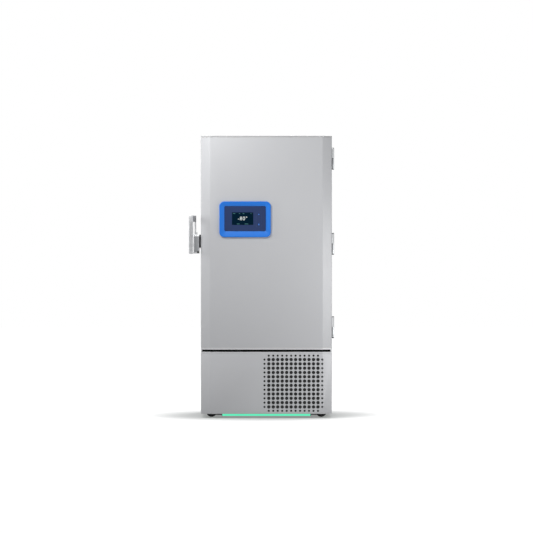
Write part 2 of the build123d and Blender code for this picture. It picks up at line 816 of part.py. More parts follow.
with BuildPart() as handle_lever:
    with BuildSketch(beside(grip_bottom)):
        with Locations((grip_x, grip_y)):
            RectangleRounded(grip_width, grip_depth, grip_corner)
    extrude(amount=grip_top - grip_bottom)
    with BuildSketch(beside(arm_bottom)):
        with Locations((arm_x, spindle_y)):
            RectangleRounded(arm_width, arm_depth, arm_corner)
    extrude(amount=grip_top - arm_bottom)
    with BuildSketch(beside(grip_top - bridge_height)):
        with Locations((grip_x + knuckle_depth / 2, grip_y + knuckle_depth)):
            RectangleRounded(grip_width - knuckle_depth, grip_depth, arm_corner)
        with Locations((arm_x, spindle_y)):
            RectangleRounded(arm_width, arm_depth, arm_corner)
        make_hull()
    extrude(amount=bridge_height)
    with BuildSketch(beside(arm_bottom)):
        with Locations((-spindle_x, spindle_y)):
            Circle(hub_radius - 1)
    extrude(amount=16)
    with BuildSketch(beside_upright(door_front - handle_proud)):
        with Locations((grip_x, (flute_bottom + flute_top) / 2)):
            with GridLocations(flute_pitch, 0, grip_flutes, 1):
                SlotOverall(flute_top - flute_bottom, flute_width, rotation=90)
    extrude(amount=-flute_depth, mode=Mode.SUBTRACT)
    with BuildSketch(beside_upright(door_front - handle_proud)) as shoulder:
        with Locations((-handle_reach + grip_shoulder / 2, grip_top - grip_shoulder / 2)):
            Rectangle(grip_shoulder, grip_shoulder)
        with Locations((-handle_reach + grip_shoulder, grip_top - grip_shoulder)):
            Circle(grip_shoulder, mode=Mode.SUBTRACT)
    extrude(amount=-(handle_proud + spindle_y), mode=Mode.SUBTRACT)
handle_lever.part.label = "handle_lever"
export_step(handle_lever.part, "parts/handle_lever.step")

# Hook: drawn latched, then turned outwards to the parked angle, with its nose just clear of the keeper
hook_back = keeper_y + door_thickness + door_gap + keeper_radius + hook_gap
hook_inner = -keeper_x - keeper_radius - hook_gap
nose_end = -keeper_x + keeper_radius + 2
with BuildPart() as latch_hook:
    with BuildSketch(beside(hook_level)) as hook_plan:
        with BuildLine():
            Polyline((hook_inner - hook_width, spindle_y), (hook_inner - hook_width, hook_back + 10),
                     (nose_end, hook_back + 10), (nose_end, hook_back), (hook_inner, hook_back),
                     (hook_inner, spindle_y), close=True)
        make_face()
        fillet(hook_plan.vertices().group_by(Axis.Y)[-1], 4)
    extrude(amount=hook_height)
    with BuildSketch(beside(hook_level)):
        with Locations((-spindle_x, spindle_y)):
            Circle(hub_radius)
    extrude(amount=hook_height)
    with BuildSketch(beside(latch_bottom + spindle_seat + 2)):
        with Locations((-spindle_x, spindle_y)):
            Circle(spindle_radius)
    extrude(amount=arm_bottom - latch_bottom - spindle_seat - 2)
spindle_axis = Axis((handle_plane_x - spindle_x, door_front + spindle_y, 0), (0, 0, 1))
latch_hook.part = latch_hook.part.rotate(spindle_axis, unlatched_angle)
latch_hook.part.label = "latch_hook"
export_step(latch_hook.part, "parts/latch_hook.step")

with BuildPart() as latch_keeper:
    with BuildSketch(beside(hook_level - 16)):
        patch(-4, 0, door_thickness + door_gap + 4, door_thickness + door_gap + 62)
    extrude(amount=hook_height + 32)
    for ear_bottom in (hook_level - 2 - keeper_ear, hook_level + hook_height + 2):
        with BuildSketch(beside(ear_bottom)) as ear_plan:
            with BuildLine():
                Polyline((0, door_thickness + door_gap + 4), (0, door_thickness + door_gap + 62),
                         (-keeper_x - keeper_radius, door_thickness + door_gap + keeper_y + 12),
                         (-keeper_x - keeper_radius, door_thickness + door_gap + keeper_y - 12), close=True)
            make_face()
            fillet(ear_plan.vertices().group_by(Axis.X)[0], 6)
        extrude(amount=keeper_ear)
    with BuildSketch(beside(hook_level - 2)):
        with Locations((-keeper_x, door_thickness + door_gap + keeper_y)):
            Circle(keeper_radius)
    extrude(amount=hook_height + 4)
latch_keeper.part.label = "latch_keeper"
export_step(latch_keeper.part, "parts/latch_keeper.step")

# Lower cover: a bevelled pan with a field of round air holes, and the filter held behind them
grille_last_x = half_width - grille_margin
grille_first_x = grille_last_x - (grille_columns - 1) * grille_pitch_x
grille_first_z = cover_bottom + grille_rise
grille_last_z = grille_first_z + (grille_rows - 1) * grille_pitch_z
grille_middle_x = (grille_first_x + grille_last_x) / 2
grille_middle_z = (grille_first_z + grille_last_z) / 2

with BuildPart() as lower_cover:
    bevelled_block(cover_bottom, cover_top)
    bevelled_block(cover_bottom + sheet, cover_top - sheet, inset=sheet, mode=Mode.SUBTRACT)
    with BuildSketch(upright(door_front)):
        with Locations((grille_middle_x, grille_middle_z)):
            with GridLocations(grille_pitch_x, grille_pitch_z, grille_columns, grille_rows):
                RegularPolygon(grille_hole / 2, hole_sides, rotation=180 / hole_sides)
            with GridLocations(grille_pitch_x, grille_last_z - grille_first_z + 2 * grille_border_z,
                               grille_columns, 2):
                RegularPolygon(grille_small_hole / 2, small_hole_sides)
            with GridLocations(grille_last_x - grille_first_x + 2 * grille_border_x, grille_pitch_z,
                               2, grille_rows):
                RegularPolygon(grille_small_hole / 2, small_hole_sides)
    extrude(amount=-6, mode=Mode.SUBTRACT)
    for plate_bottom in (cover_bottom, cover_top - sheet):
        with BuildSketch(level(plate_bottom)):
            with Locations((cover_pivot_x, cover_pivot_y)):
                Circle(cover_pivot_radius + running_gap)
        extrude(amount=sheet, mode=Mode.SUBTRACT)
lower_cover.part.label = "lower_cover"
export_step(lower_cover.part, "parts/lower_cover.step")

with BuildPart() as air_filter:
    with BuildSketch(upright(door_front + sheet)):
        patch(grille_first_x - grille_border_x - filter_border, half_width - facet_width - 1,
              grille_first_z - grille_border_z - 14, grille_last_z + grille_border_z + 14)
    extrude(amount=-filter_depth)
air_filter.part.label = "air_filter"
export_step(air_filter.part, "parts/air_filter.step")

# Light bar under the cover, on two brackets from the floor pan
light_front = door_front + light_setback
with BuildPart() as light_bar_housing:
    with BuildSketch(level(light_bottom)):
        patch(-light_housing_length / 2, light_housing_length / 2, light_front, light_front + light_depth)
        patch(-light_length / 2, light_length / 2, light_front, light_front + lens_depth, mode=Mode.SUBTRACT)
    extrude(amount=light_height)
    with BuildSketch(level(light_bottom)):
        patch(-light_housing_length / 2, light_housing_length / 2, light_front, light_front + light_depth)
        patch(-light_length / 2 - 4, light_length / 2 + 4, light_front, light_front + light_depth,
              mode=Mode.SUBTRACT)
    extrude(amount=light_height - light_end_height, mode=Mode.SUBTRACT)
    for x in (-bracket_x, bracket_x):
        with BuildSketch(sideways(x - bracket_width / 2)):
            with BuildLine():
                Polyline((light_front + light_depth, light_bottom), (cabinet_front + 40, light_bottom),
                         (cabinet_front + 40, floor_pan_bottom), (cabinet_front + 34, floor_pan_bottom),
                         (cabinet_front + 34, light_bottom + 8),
                         (light_front + light_depth, light_bottom + 8), close=True)
            make_face()
        extrude(amount=bracket_width)
light_bar_housing.part.label = "light_bar_housing"
export_step(light_bar_housing.part, "parts/light_bar_housing.step")

with BuildPart() as light_bar_lens:
    with BuildSketch(level(light_bottom)):
        patch(-light_length / 2, light_length / 2, light_front, light_front + lens_depth)
    extrude(amount=light_height)
light_bar_lens.part.label = "light_bar_lens"
export_step(light_bar_lens.part, "parts/light_bar_lens.step")

# Floor pan of the machine compartment: a folded tray between the side panels
with BuildPart() as base_frame:
    with BuildSketch(level(floor_pan_bottom)):
        patch(-inside_half, inside_half, cabinet_front + sheet, cabinet_back - sheet)
    extrude(amount=tray_height)
    with BuildSketch(level(pan_top)):
        patch(-inside_half + floor_pan, inside_half - floor_pan,
              cabinet_front + sheet + floor_pan, cabinet_back - sheet - floor_pan)
    extrude(amount=tray_height, mode=Mode.SUBTRACT)
base_frame.part.label = "base_frame"
export_step(base_frame.part, "parts/base_frame.step")

# Condenser: flat tubes between two standing headers, in front of its fan
condenser_y = cabinet_front + 32
header_low_x = fan_x - condenser_width / 2 + header_radius
header_high_x = fan_x + condenser_width / 2 - header_radius
header_top = pan_top + condenser_height
with BuildPart() as condenser_coil:
    with BuildSketch(level(pan_top)):
        with Locations((header_low_x, condenser_y), (header_high_x, condenser_y)):
            Circle(header_radius)
    extrude(amount=condenser_height)
    with BuildSketch(upright(condenser_y + 9)):
        with Locations((fan_x, pan_top + condenser_height / 2)):
            tube_pitch = (condenser_height - 30) / (condenser_tubes - 1)
            with GridLocations(0, tube_pitch, 1, condenser_tubes):
                Rectangle(header_high_x - header_low_x, 4)
    extrude(amount=18)
condenser_coil.part.label = "condenser_coil"
export_step(condenser_coil.part, "parts/condenser_coil.step")

shroud_y = cabinet_front + 62
ring_radius = fan_radius + 6
with BuildPart() as fan_shroud:
    with BuildSketch(upright(shroud_y)):
        patch(header_low_x - header_radius, header_high_x + header_radius, pan_top, header_top + 8)
        with Locations((fan_x, fan_z)):
            Circle(ring_radius, mode=Mode.SUBTRACT)
    extrude(amount=-shroud_wall)
    with BuildSketch(upright(shroud_y)):
        with Locations((fan_x, fan_z)):
            Circle(ring_radius + shroud_wall)
            Circle(ring_radius, mode=Mode.SUBTRACT)
    extrude(amount=-ring_depth)
fan_shroud.part.label = "fan_shroud"
export_step(fan_shroud.part, "parts/fan_shroud.step")

# Fan: curved pitched blades on a hub, whose shaft runs in the motor
fan_middle_y = shroud_y + ring_depth / 2
motor_front = shroud_y + ring_depth + 8
with BuildPart() as condenser_fan:
    with BuildSketch(upright(fan_middle_y + 14)):
        with Locations((fan_x, fan_z)):
            Circle(fan_hub_radius)
    extrude(amount=30)
    for blade in range(fan_blades):
        angle = radians(blade * 360 / fan_blades)
        outwards = Vector(cos(angle), 0, sin(angle))
        across = Vector(-sin(angle), 0, cos(angle))
        chord = across * cos(radians(blade_pitch)) + Vector(0, 1, 0) * sin(radians(blade_pitch))
        root = Vector(cabinet_x + fan_x, fan_middle_y, fan_z) + outwards * (fan_hub_radius - 4)
        with BuildSketch(Plane(origin=root, x_dir=chord, z_dir=outwards)):
            with BuildLine():
                ThreePointArc((-blade_chord / 2, 0), (0, blade_rise), (blade_chord / 2, 0))
                ThreePointArc((-blade_chord / 2, 0), (0, blade_rise - blade_thickness), (blade_chord / 2, 0))
            make_face()
        extrude(amount=fan_radius - fan_hub_radius - 2)
    with BuildSketch(upright(motor_front + 24)):
        with Locations((fan_x, fan_z)):
            Circle(fan_shaft_radius)
    extrude(amount=motor_front + 24 - fan_middle_y)
condenser_fan.part.label = "condenser_fan"
export_step(condenser_fan.part, "parts/condenser_fan.step")

with BuildPart() as fan_motor:
    with BuildSketch(upright(motor_front + motor_length)):
        with Locations((fan_x, fan_z)):
            Circle(motor_radius)
    extrude(amount=motor_length)
    chamfer(fan_motor.faces().sort_by(Axis.Y)[-1].edges(), 8)
    with BuildSketch(upright(motor_front)):
        with Locations((fan_x, fan_z)):
            Circle(motor_radius)
            with PolarLocations(0, 3, start_angle=90):
                Rectangle(ring_radius + shroud_wall, 12, align=(Align.MIN, Align.CENTER))
    extrude(amount=8)
    with BuildSketch(upright(motor_front + 25)):
        with Locations((fan_x, fan_z)):
            Circle(fan_shaft_radius + running_gap)
    extrude(amount=33, mode=Mode.SUBTRACT)
fan_motor.part.label = "fan_motor"
export_step(fan_motor.part, "parts/fan_motor.step")

# Two hermetic compressors on rubber mounts
high_stage = (-205, cabinet_front + 300)
low_stage = (225, cabinet_front + 470)
for node, (x, y) in (("compressor_high_stage", high_stage), ("compressor_low_stage", low_stage)):
    with BuildPart() as compressor:
        section_plane = Plane(origin=(cabinet_x + x, y, foot_bottom), x_dir=(1, 0, 0), z_dir=(0, -1, 0))
        with BuildSketch(section_plane) as section:
            with BuildLine():
                Polyline((0, 0), (compressor_radius * 0.72, 0), (compressor_radius, 26),
                         (compressor_radius, compressor_height), (0, compressor_height), close=True)
            make_face()
            fillet(section.vertices().sort_by_distance((compressor_radius, compressor_height))[0],
                   compressor_dome)
        revolve(axis=Axis((cabinet_x + x, y, 0), (0, 0, 1)))
        with BuildSketch(level(foot_bottom)):
            with Locations((x, y)):
                RectangleRounded(foot_span + 34, foot_span + 34, 18)
        extrude(amount=foot_sheet)
        with BuildSketch(level(foot_bottom + 70)):
            with Locations((x, y + compressor_radius)):
                Rectangle(70, 56)
        extrude(amount=66)
        with BuildSketch(level(foot_bottom + compressor_height)):
            with Locations((x + 20, y)):
                Circle(tube_radius + 2)
        extrude(amount=port_height)
    compressor.part.label = node
    export_step(compressor.part, f"parts/{node}.step")

with BuildPart() as compressor_mounts:
    with BuildSketch(level(pan_top)):
        for x, y in (high_stage, low_stage):
            with Locations((x, y)):
                with GridLocations(foot_span, foot_span, 2, 2):
                    Circle(13)
    extrude(amount=mount_height)
compressor_mounts.part.label = "compressor_mounts"
export_step(compressor_mounts.part, "parts/compressor_mounts.step")

# Plate heat exchanger between the two refrigerant circuits
exchanger_y = cabinet_front + exchanger_setback
exchanger_height = deck_height - exchanger_clear - pan_top
with BuildPart() as heat_exchanger:
    with BuildSketch(level(pan_top)):
        with Locations((exchanger_x, exchanger_y)):
            RectangleRounded(128, 92, 14)
    extrude(amount=exchanger_height)
    with BuildSketch(upright(exchanger_y - 46)):
        with Locations((exchanger_x, pan_top + exchanger_height / 2)):
            with GridLocations(0, 28, 1, exchanger_ribs):
                Rectangle(90, 12)
    extrude(amount=4)
    with BuildSketch(level(pan_top + exchanger_height)):
        with Locations((exchanger_x, exchanger_y)):
            with GridLocations(80, 50, 2, 2):
                Circle(tube_radius + 3)
    extrude(amount=port_height)
heat_exchanger.part.label = "heat_exchanger"
export_step(heat_exchanger.part, "parts/heat_exchanger.step")

# Copper lines: up from one port, across under the deck, and down or up to the next
line_level = deck_height - line_clear
port_top = foot_bottom + compressor_height + port_height
exchanger_top = pan_top + exchanger_height + port_height
riser_middle_y = (coil_inner_back + coil_outer_back) / 2
line_routes = (
    ((high_stage[0] + 20, high_stage[1], port_top), (header_low_x, condenser_y, header_top),
     line_level),
    ((low_stage[0] + 20, low_stage[1], port_top), (exchanger_x + 40, exchanger_y - 25, exchanger_top),
     line_level),
    ((exchanger_x + 40, exchanger_y + 25, exchanger_top), (riser_x, riser_middle_y, deck_height - riser_end),
     line_level - 14),
)
with BuildPart() as refrigerant_lines:
    for start, end, height in line_routes:
        bend = min(abs(height - start[2]), abs(height - end[2])) * 0.9
        start_point = Vector(cabinet_x + start[0], start[1], start[2])
        end_point = Vector(cabinet_x + end[0], end[1], end[2])
        with BuildLine() as route:
            FilletPolyline(start_point, Vector(start_point.X, start_point.Y, height),
                           Vector(end_point.X, end_point.Y, height), end_point, radius=bend)
        with BuildSketch(Plane(origin=start_point, z_dir=(0, 0, 1))):
            Circle(tube_radius)
        sweep(path=route.line)
refrigerant_lines.part.label = "refrigerant_lines"
export_step(refrigerant_lines.part, "parts/refrigerant_lines.step")

with BuildPart() as control_box:
    with BuildSketch(sideways(-inside_half)):
        patch(cabinet_front + 24, cabinet_front + 164, deck_height - control_height, deck_height - sheet)
    extrude(amount=150)
    with BuildSketch(sideways(-inside_half + 150)):
        patch(cabinet_front + 18, cabinet_front + 170,
              deck_height - control_height - 6, deck_height - sheet - 2)
    extrude(amount=3)
control_box.part.label = "control_box"
export_step(control_box.part, "parts/control_box.step")

# Lower back panel with louvres, the mains inlet and its rocker switch
inlet_x = -half_width + inlet_margin
socket_x = inlet_x - 16
rocker_x = inlet_x + 24
with BuildPart() as rear_service_panel:
    with BuildSketch(upright(cabinet_back)):
        patch(-inside_half, inside_half, floor_pan_bottom, deck_height)
        with Locations((120, (pan_top + tray_height + deck_height) / 2)):
            with GridLocations(210, louvre_pitch, 2, louvre_rows):
                Rectangle(170, 9, mode=Mode.SUBTRACT)
        with Locations((inlet_x, inlet_z)):
            Rectangle(inlet_body_width, inlet_body_height, mode=Mode.SUBTRACT)
    extrude(amount=sheet)
rear_service_panel.part.label = "rear_service_panel"
export_step(rear_service_panel.part, "parts/rear_service_panel.step")

pivot_y = cabinet_back - 4
with BuildPart() as power_inlet:
    with BuildSketch(upright(cabinet_back + 4)):
        with Locations((inlet_x, inlet_z)):
            RectangleRounded(inlet_width, inlet_height, 5)
    extrude(amount=4)
    with BuildSketch(upright(cabinet_back)):
        with Locations((inlet_x, inlet_z)):
            Rectangle(inlet_body_width, inlet_body_height)
    extrude(amount=26)
    with BuildSketch(upright(cabinet_back + 4)):
        with Locations((socket_x, inlet_z)):
            Rectangle(26, 18)
        with Locations((rocker_x, inlet_z)):
            Rectangle(rocker_window, rocker_window_height)
    extrude(amount=22, mode=Mode.SUBTRACT)
    with BuildSketch(upright(cabinet_back)):
        with Locations((socket_x - 7, inlet_z - 2), (socket_x, inlet_z + 3), (socket_x + 7, inlet_z - 2)):
            Rectangle(2, 5)
    extrude(amount=18)
    with BuildSketch(sideways(rocker_x - 9)):
        with Locations((pivot_y, inlet_z)):
            Circle(1.5 + running_gap)
    extrude(amount=18, mode=Mode.SUBTRACT)
power_inlet.part.label = "power_inlet"
export_step(power_inlet.part, "parts/power_inlet.step")

with BuildPart() as power_switch:
    with BuildSketch(sideways(rocker_x - rocker_width / 2)):
        with BuildLine():
            Polyline((pivot_y - 8, inlet_z - 6), (pivot_y - 8, inlet_z + 6), (pivot_y + 11, inlet_z + 10),
                     (pivot_y + 8, inlet_z), (pivot_y + 11, inlet_z - 10), close=True)
        make_face()
    extrude(amount=rocker_width)
    with BuildSketch(sideways(rocker_x - 8.5)):
        with Locations((pivot_y, inlet_z)):
            Circle(1.5)
    extrude(amount=17)
rocker_axis = Axis((cabinet_x + rocker_x, pivot_y, inlet_z), (1, 0, 0))
power_switch.part = power_switch.part.rotate(rocker_axis, -rocker_tilt)
power_switch.part.label = "power_switch"
export_step(power_switch.part, "parts/power_switch.step")

# Casters: a fixed plate, a fork that swivels under it and a wheel that trails outwards
crown_bottom = floor_pan_bottom - plate_thickness - cup_height - cup_gap - crown_height
fork_half = wheel_width / 2 + wheel_side_gap
caster_places = {
    "front_left": (-caster_x, cabinet_front + caster_inset),
    "front_right": (caster_x, cabinet_front + caster_inset),
    "rear_left": (-caster_x, cabinet_back - caster_inset),
    "rear_right": (caster_x, cabinet_back - caster_inset),
}
with BuildPart() as caster_plates:
    with BuildSketch(level(floor_pan_bottom - plate_thickness)):
        for x, y in caster_places.values():
            with Locations((x, y)):
                RectangleRounded(92, 76, 8)
    extrude(amount=plate_thickness)
    with BuildSketch(level(floor_pan_bottom - plate_thickness - cup_height)):
        for x, y in caster_places.values():
            with Locations((x, y)):
                Circle(cup_radius)
    extrude(amount=cup_height)
    with BuildSketch(level(floor_pan_bottom - plate_thickness - cup_height)):
        for x, y in caster_places.values():
            with Locations((x, y)):
                Circle(king_pin_radius + running_gap)
    extrude(amount=plate_thickness + cup_height, mode=Mode.SUBTRACT)
caster_plates.part.label = "caster_plates"
export_step(caster_plates.part, "parts/caster_plates.step")

for corner, (x, y) in caster_places.items():
    outwards = 1 if x > 0 else -1
    wheel_x = x + outwards * caster_trail
    with BuildPart() as caster_fork:
        with BuildSketch(level(crown_bottom)):
            with Locations((x, y)):
                Circle(cup_radius)
            patch(*sorted((x, wheel_x + outwards * 8)),
                  y - fork_half - fork_sheet, y + fork_half + fork_sheet)
        extrude(amount=crown_height)
        for leg_y in (y - fork_half, y + fork_half + fork_sheet):
            with BuildSketch(upright(leg_y)):
                with Locations((wheel_x, wheel_radius)):
                    Circle(11)
                patch(*sorted((x + outwards * 4, wheel_x + outwards * 8)),
                      crown_bottom, crown_bottom + crown_height)
                make_hull()
            extrude(amount=fork_sheet)
        with BuildSketch(upright(y + fork_half + fork_sheet + 2)):
            with Locations((wheel_x, wheel_radius)):
                Circle(axle_radius)
        extrude(amount=2 * (fork_half + fork_sheet + 2))
        with BuildSketch(level(crown_bottom + crown_height)):
            with Locations((x, y)):
                Circle(king_pin_radius)
        extrude(amount=cup_gap + cup_height + plate_thickness - 0.5)
    caster_fork.part.label = f"caster_fork_{corner}"
    export_step(caster_fork.part, f"parts/caster_fork_{corner}.step")

    with BuildPart() as caster_wheel:
        with BuildSketch(upright(y + wheel_width / 2)):
            with Locations((wheel_x, wheel_radius)):
                Circle(wheel_radius)
        extrude(amount=wheel_width)
        chamfer(caster_wheel.edges().filter_by(GeomType.CIRCLE), 3)
        for face_y, depth in ((y + wheel_width / 2, 4), (y - wheel_width / 2, -4)):
            with BuildSketch(upright(face_y)):
                with Locations((wheel_x, wheel_radius)):
                    Circle(wheel_radius - 12)
                    Circle(9, mode=Mode.SUBTRACT)
            extrude(amount=depth, mode=Mode.SUBTRACT)
        with BuildSketch(upright(y + wheel_width / 2)):
            with Locations((wheel_x, wheel_radius)):
                Circle(axle_radius + running_gap)
        extrude(amount=wheel_width, mode=Mode.SUBTRACT)
    caster_wheel.part.label = f"caster_wheel_{corner}"
    export_step(caster_wheel.part, f"parts/caster_wheel_{corner}.step")
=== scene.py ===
import json
import math

import bmesh
import bpy
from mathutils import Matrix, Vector


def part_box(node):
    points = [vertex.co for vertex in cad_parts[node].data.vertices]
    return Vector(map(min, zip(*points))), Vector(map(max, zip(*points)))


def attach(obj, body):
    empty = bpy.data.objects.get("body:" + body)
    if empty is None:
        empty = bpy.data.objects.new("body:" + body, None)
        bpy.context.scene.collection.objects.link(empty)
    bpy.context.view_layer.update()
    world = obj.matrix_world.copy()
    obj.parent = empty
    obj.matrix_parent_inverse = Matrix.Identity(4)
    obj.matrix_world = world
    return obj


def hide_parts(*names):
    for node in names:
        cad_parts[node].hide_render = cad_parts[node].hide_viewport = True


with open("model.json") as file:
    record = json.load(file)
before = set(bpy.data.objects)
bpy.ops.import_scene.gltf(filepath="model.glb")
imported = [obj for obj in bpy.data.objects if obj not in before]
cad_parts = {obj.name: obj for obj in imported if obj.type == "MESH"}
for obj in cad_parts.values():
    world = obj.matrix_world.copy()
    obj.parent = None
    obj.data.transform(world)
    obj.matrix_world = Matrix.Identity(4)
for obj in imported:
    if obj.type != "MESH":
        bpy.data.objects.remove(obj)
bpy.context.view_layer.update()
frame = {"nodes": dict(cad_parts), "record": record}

nodes = frame["nodes"]


# Selecting and shaping

def clearSelection():
    bpy.ops.object.select_all(action="DESELECT")
    bpy.context.view_layer.objects.active = None


def pickObject(piece):
    clearSelection()
    piece.select_set(True)
    bpy.context.view_layer.objects.active = piece


def settlePlace(piece):  # the place goes into the mesh, as in a CAD node
    pickObject(piece)
    bpy.ops.object.transform_apply(location=True, rotation=True, scale=True)


def addBlock(name, low, high):
    clearSelection()
    middle = [(a + b) / 2 for a, b in zip(low, high)]
    bpy.ops.mesh.primitive_cube_add(size=1, location=middle)
    piece = bpy.context.object
    piece.name = name
    piece.scale = [b - a for a, b in zip(low, high)]
    settlePlace(piece)
    return piece


def addRod(name, middle, radius, length, along="Z", sides=32):
    clearSelection()
    turns = {"X": (0, math.pi / 2, 0), "Y": (math.pi / 2, 0, 0), "Z": (0, 0, 0)}
    bpy.ops.mesh.primitive_cylinder_add(
        vertices=sides, radius=radius, depth=length, location=middle, rotation=turns[along])
    piece = bpy.context.object
    piece.name = name
    settlePlace(piece)
    return piece


def openEdit(piece):
    pickObject(piece)
    bpy.ops.object.mode_set(mode="EDIT")
    bpy.ops.mesh.select_mode(type="FACE")
    bpy.ops.mesh.select_all(action="DESELECT")


def closeEdit():
    bpy.ops.object.mode_set(mode="OBJECT")


def pickParts(kind, chooses):
    bpy.ops.mesh.select_mode(type=kind)
    bpy.ops.mesh.select_all(action="DESELECT")
    mesh = bpy.context.object.data
    cage = bmesh.from_edit_mesh(mesh)
    parts = {"FACE": cage.faces, "EDGE": cage.edges, "VERT": cage.verts}
    for part in parts[kind]:
        if chooses(part):
            part.select_set(True)
    bmesh.update_edit_mesh(mesh)


def pickFaces(test):  # by middle and normal
    pickParts("FACE", lambda face: test(face.calc_center_median(), face.normal))


def pickEdges(test):  # by middle and direction
    def chooses(edge):
        a, b = (corner.co for corner in edge.verts)
        return test((a + b) / 2, (b - a).normalized())

    pickParts("EDGE", chooses)


def pickCorners(test):
    pickParts("VERT", lambda corner: test(corner.co))


def near(a, b, slack=0.0004):
    return abs(a - b) < slack


def cutAcross(place, normal):
    bpy.ops.mesh.select_all(action="SELECT")
    bpy.ops.mesh.bisect(plane_co=place, plane_no=normal)


def applyModifier(piece, kind, **settings):
    pickObject(piece)
    change = piece.modifiers.new(kind.lower(), kind)
    for key, value in settings.items():
        setattr(change, key, value)
    bpy.ops.object.modifier_apply(modifier=change.name)


def softenEdges(piece, width, segments=3, angle=30):
    applyModifier(piece, "BEVEL", width=width, segments=segments, limit_method="ANGLE",
                  angle_limit=math.radians(angle), harden_normals=False)


def thickenSheet(piece, thickness):  # the wall goes inwards
    applyModifier(piece, "SOLIDIFY", thickness=thickness, offset=-1.0)


def cutWith(piece, tool):
    applyModifier(piece, "BOOLEAN", operation="DIFFERENCE", object=tool, solver="EXACT")
    bpy.data.objects.remove(tool)


def joinPieces(name, pieces):
    clearSelection()
    for piece in pieces:
        piece.select_set(True)
    bpy.context.view_layer.objects.active = pieces[0]
    bpy.ops.object.join()
    pieces[0].name = name
    return pieces[0]


def hullPiece(name, pieces):  # the pieces wrapped in one convex skin
    piece = joinPieces(name, pieces)
    openEdit(piece)
    bpy.ops.mesh.select_all(action="SELECT")
    bpy.ops.mesh.convex_hull()
    bpy.ops.mesh.select_all(action="SELECT")
    bpy.ops.mesh.dissolve_limited(angle_limit=math.radians(1))
    closeEdit()
    return piece


smoothAngle = 32  # degrees, past which an edge stays sharp


def placePiece(piece, body, slotName, material, *replaced):
    pickObject(piece)
    bpy.ops.object.shade_smooth_by_angle(angle=math.radians(smoothAngle))
    piece.data.materials.clear()
    piece.data.materials.append(material)
    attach(piece, body)
    if replaced:
        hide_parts(*replaced)


# Shader maths: a wrapped socket adds its Math nodes as it is used

class Signal:
    def __init__(self, finish, socket):
        self.finish = finish
        self.socket = socket

    def combine(self, operation, first, second):
        return self.finish.node("ShaderNodeMath", {"operation": operation}, {0: first, 1: second})

    def __add__(self, other):
        return self.combine("ADD", self, other)

    def __mul__(self, other):
        return self.combine("MULTIPLY", self, other)

    __radd__ = __add__
    __rmul__ = __mul__


class Finish:
    def __init__(self, name, **constants):
        self.material = bpy.data.materials.new(name)
        self.material.use_nodes = True
        self.tree = self.material.node_tree
        self.shader = self.tree.nodes["Principled BSDF"]
        for key, value in constants.items():
            socket = self.shader.inputs[key.replace("_", " ")]
            socket.default_value = (*value, 1) if isinstance(value, tuple) else value

    def node(self, kind, settings=None, sockets=None, output=0):
        made = self.tree.nodes.new(kind)
        for key, value in (settings or {}).items():
            setattr(made, key, value)
        for key, value in (sockets or {}).items():
            if isinstance(value, Signal):
                self.tree.links.new(value.socket, made.inputs[key])
            else:
                made.inputs[key].default_value = value
        return Signal(self, made.outputs[output])

    def place(self, stretch=(1, 1, 1)):
        objectPlace = self.node("ShaderNodeTexCoord", output="Object")
        return self.node("ShaderNodeMapping", {}, {"Vector": objectPlace, "Scale": stretch})

    def noise(self, scale, detail=3.0, stretch=(1, 1, 1)):
        return self.node("ShaderNodeTexNoise", {}, {"Vector": self.place(stretch), "Scale": scale,
                                                    "Detail": detail})

    def blend(self, amount, dark, pale):
        return self.node("ShaderNodeMix", {"data_type": "RGBA"},
                         {0: amount, 6: (*dark, 1), 7: (*pale, 1)}, output=2)

    def feed(self, name, signal):
        self.tree.links.new(signal.socket, self.shader.inputs[name])

    def bump(self, height, strength, distance):
        self.feed("Normal", self.node("ShaderNodeBump", {}, {"Height": height, "Strength": strength,
                                                             "Distance": distance}))


def shade(colour, factor):
    return tuple(min(1, part * factor) for part in colour)


def paintedSteel(name, colour, roughness=0.36, metallic=0.0):
    finish = Finish(name, Metallic=metallic)
    cloud = finish.noise(2.2, 2)
    grain = finish.noise(900, 2)
    mottle = cloud * 0.6 + grain * 0.4
    finish.feed("Base Color", finish.blend(mottle, shade(colour, 0.96), shade(colour, 1.04)))
    finish.feed("Roughness", finish.noise(14, 4) * 0.1 + (roughness - 0.05))
    finish.bump(finish.noise(420, 2), 0.12, 0.0004)
    return finish.material


def brushedMetal(name, colour, roughness=0.32, stretch=(1, 1, 40)):
    finish = Finish(name, Metallic=1.0)
    lines = finish.noise(30, 3, stretch)
    finish.feed("Base Color", finish.blend(lines, shade(colour, 0.86), shade(colour, 1.08)))
    finish.feed("Roughness", lines * 0.16 + (roughness - 0.08))
    finish.bump(lines, 0.1, 0.0003)
    return finish.material


def castMetal(name, colour, roughness=0.42):
    finish = Finish(name, Metallic=0.85)
    patches = finish.noise(60, 4)
    finish.feed("Base Color", finish.blend(patches, shade(colour, 0.85), shade(colour, 1.1)))
    finish.feed("Roughness", finish.noise(180, 3) * 0.2 + (roughness - 0.1))
    finish.bump(finish.noise(1400, 2), 0.25, 0.0003)
    return finish.material


def mouldedPlastic(name, colour, roughness=0.5):
    finish = Finish(name)
    finish.feed("Base Color", finish.blend(finish.noise(24, 3), shade(colour, 0.93), shade(colour, 1.06)))
    finish.feed("Roughness", finish.noise(90, 3) * 0.14 + (roughness - 0.07))
    finish.bump(finish.noise(1100, 2), 0.2, 0.0002)
    return finish.material


def glossPlastic(name, colour, roughness=0.2, specular=0.5, coat=0.3):
    finish = Finish(name, Coat_Weight=coat, Coat_Roughness=0.08, Specular_IOR_Level=specular)
    finish.feed("Base Color", finish.blend(finish.noise(9, 3), shade(colour, 0.95), shade(colour, 1.05)))
    finish.feed("Roughness", finish.noise(60, 3) * 0.08 + (roughness - 0.04))
    finish.bump(finish.noise(500, 2), 0.04, 0.0002)
    return finish.material


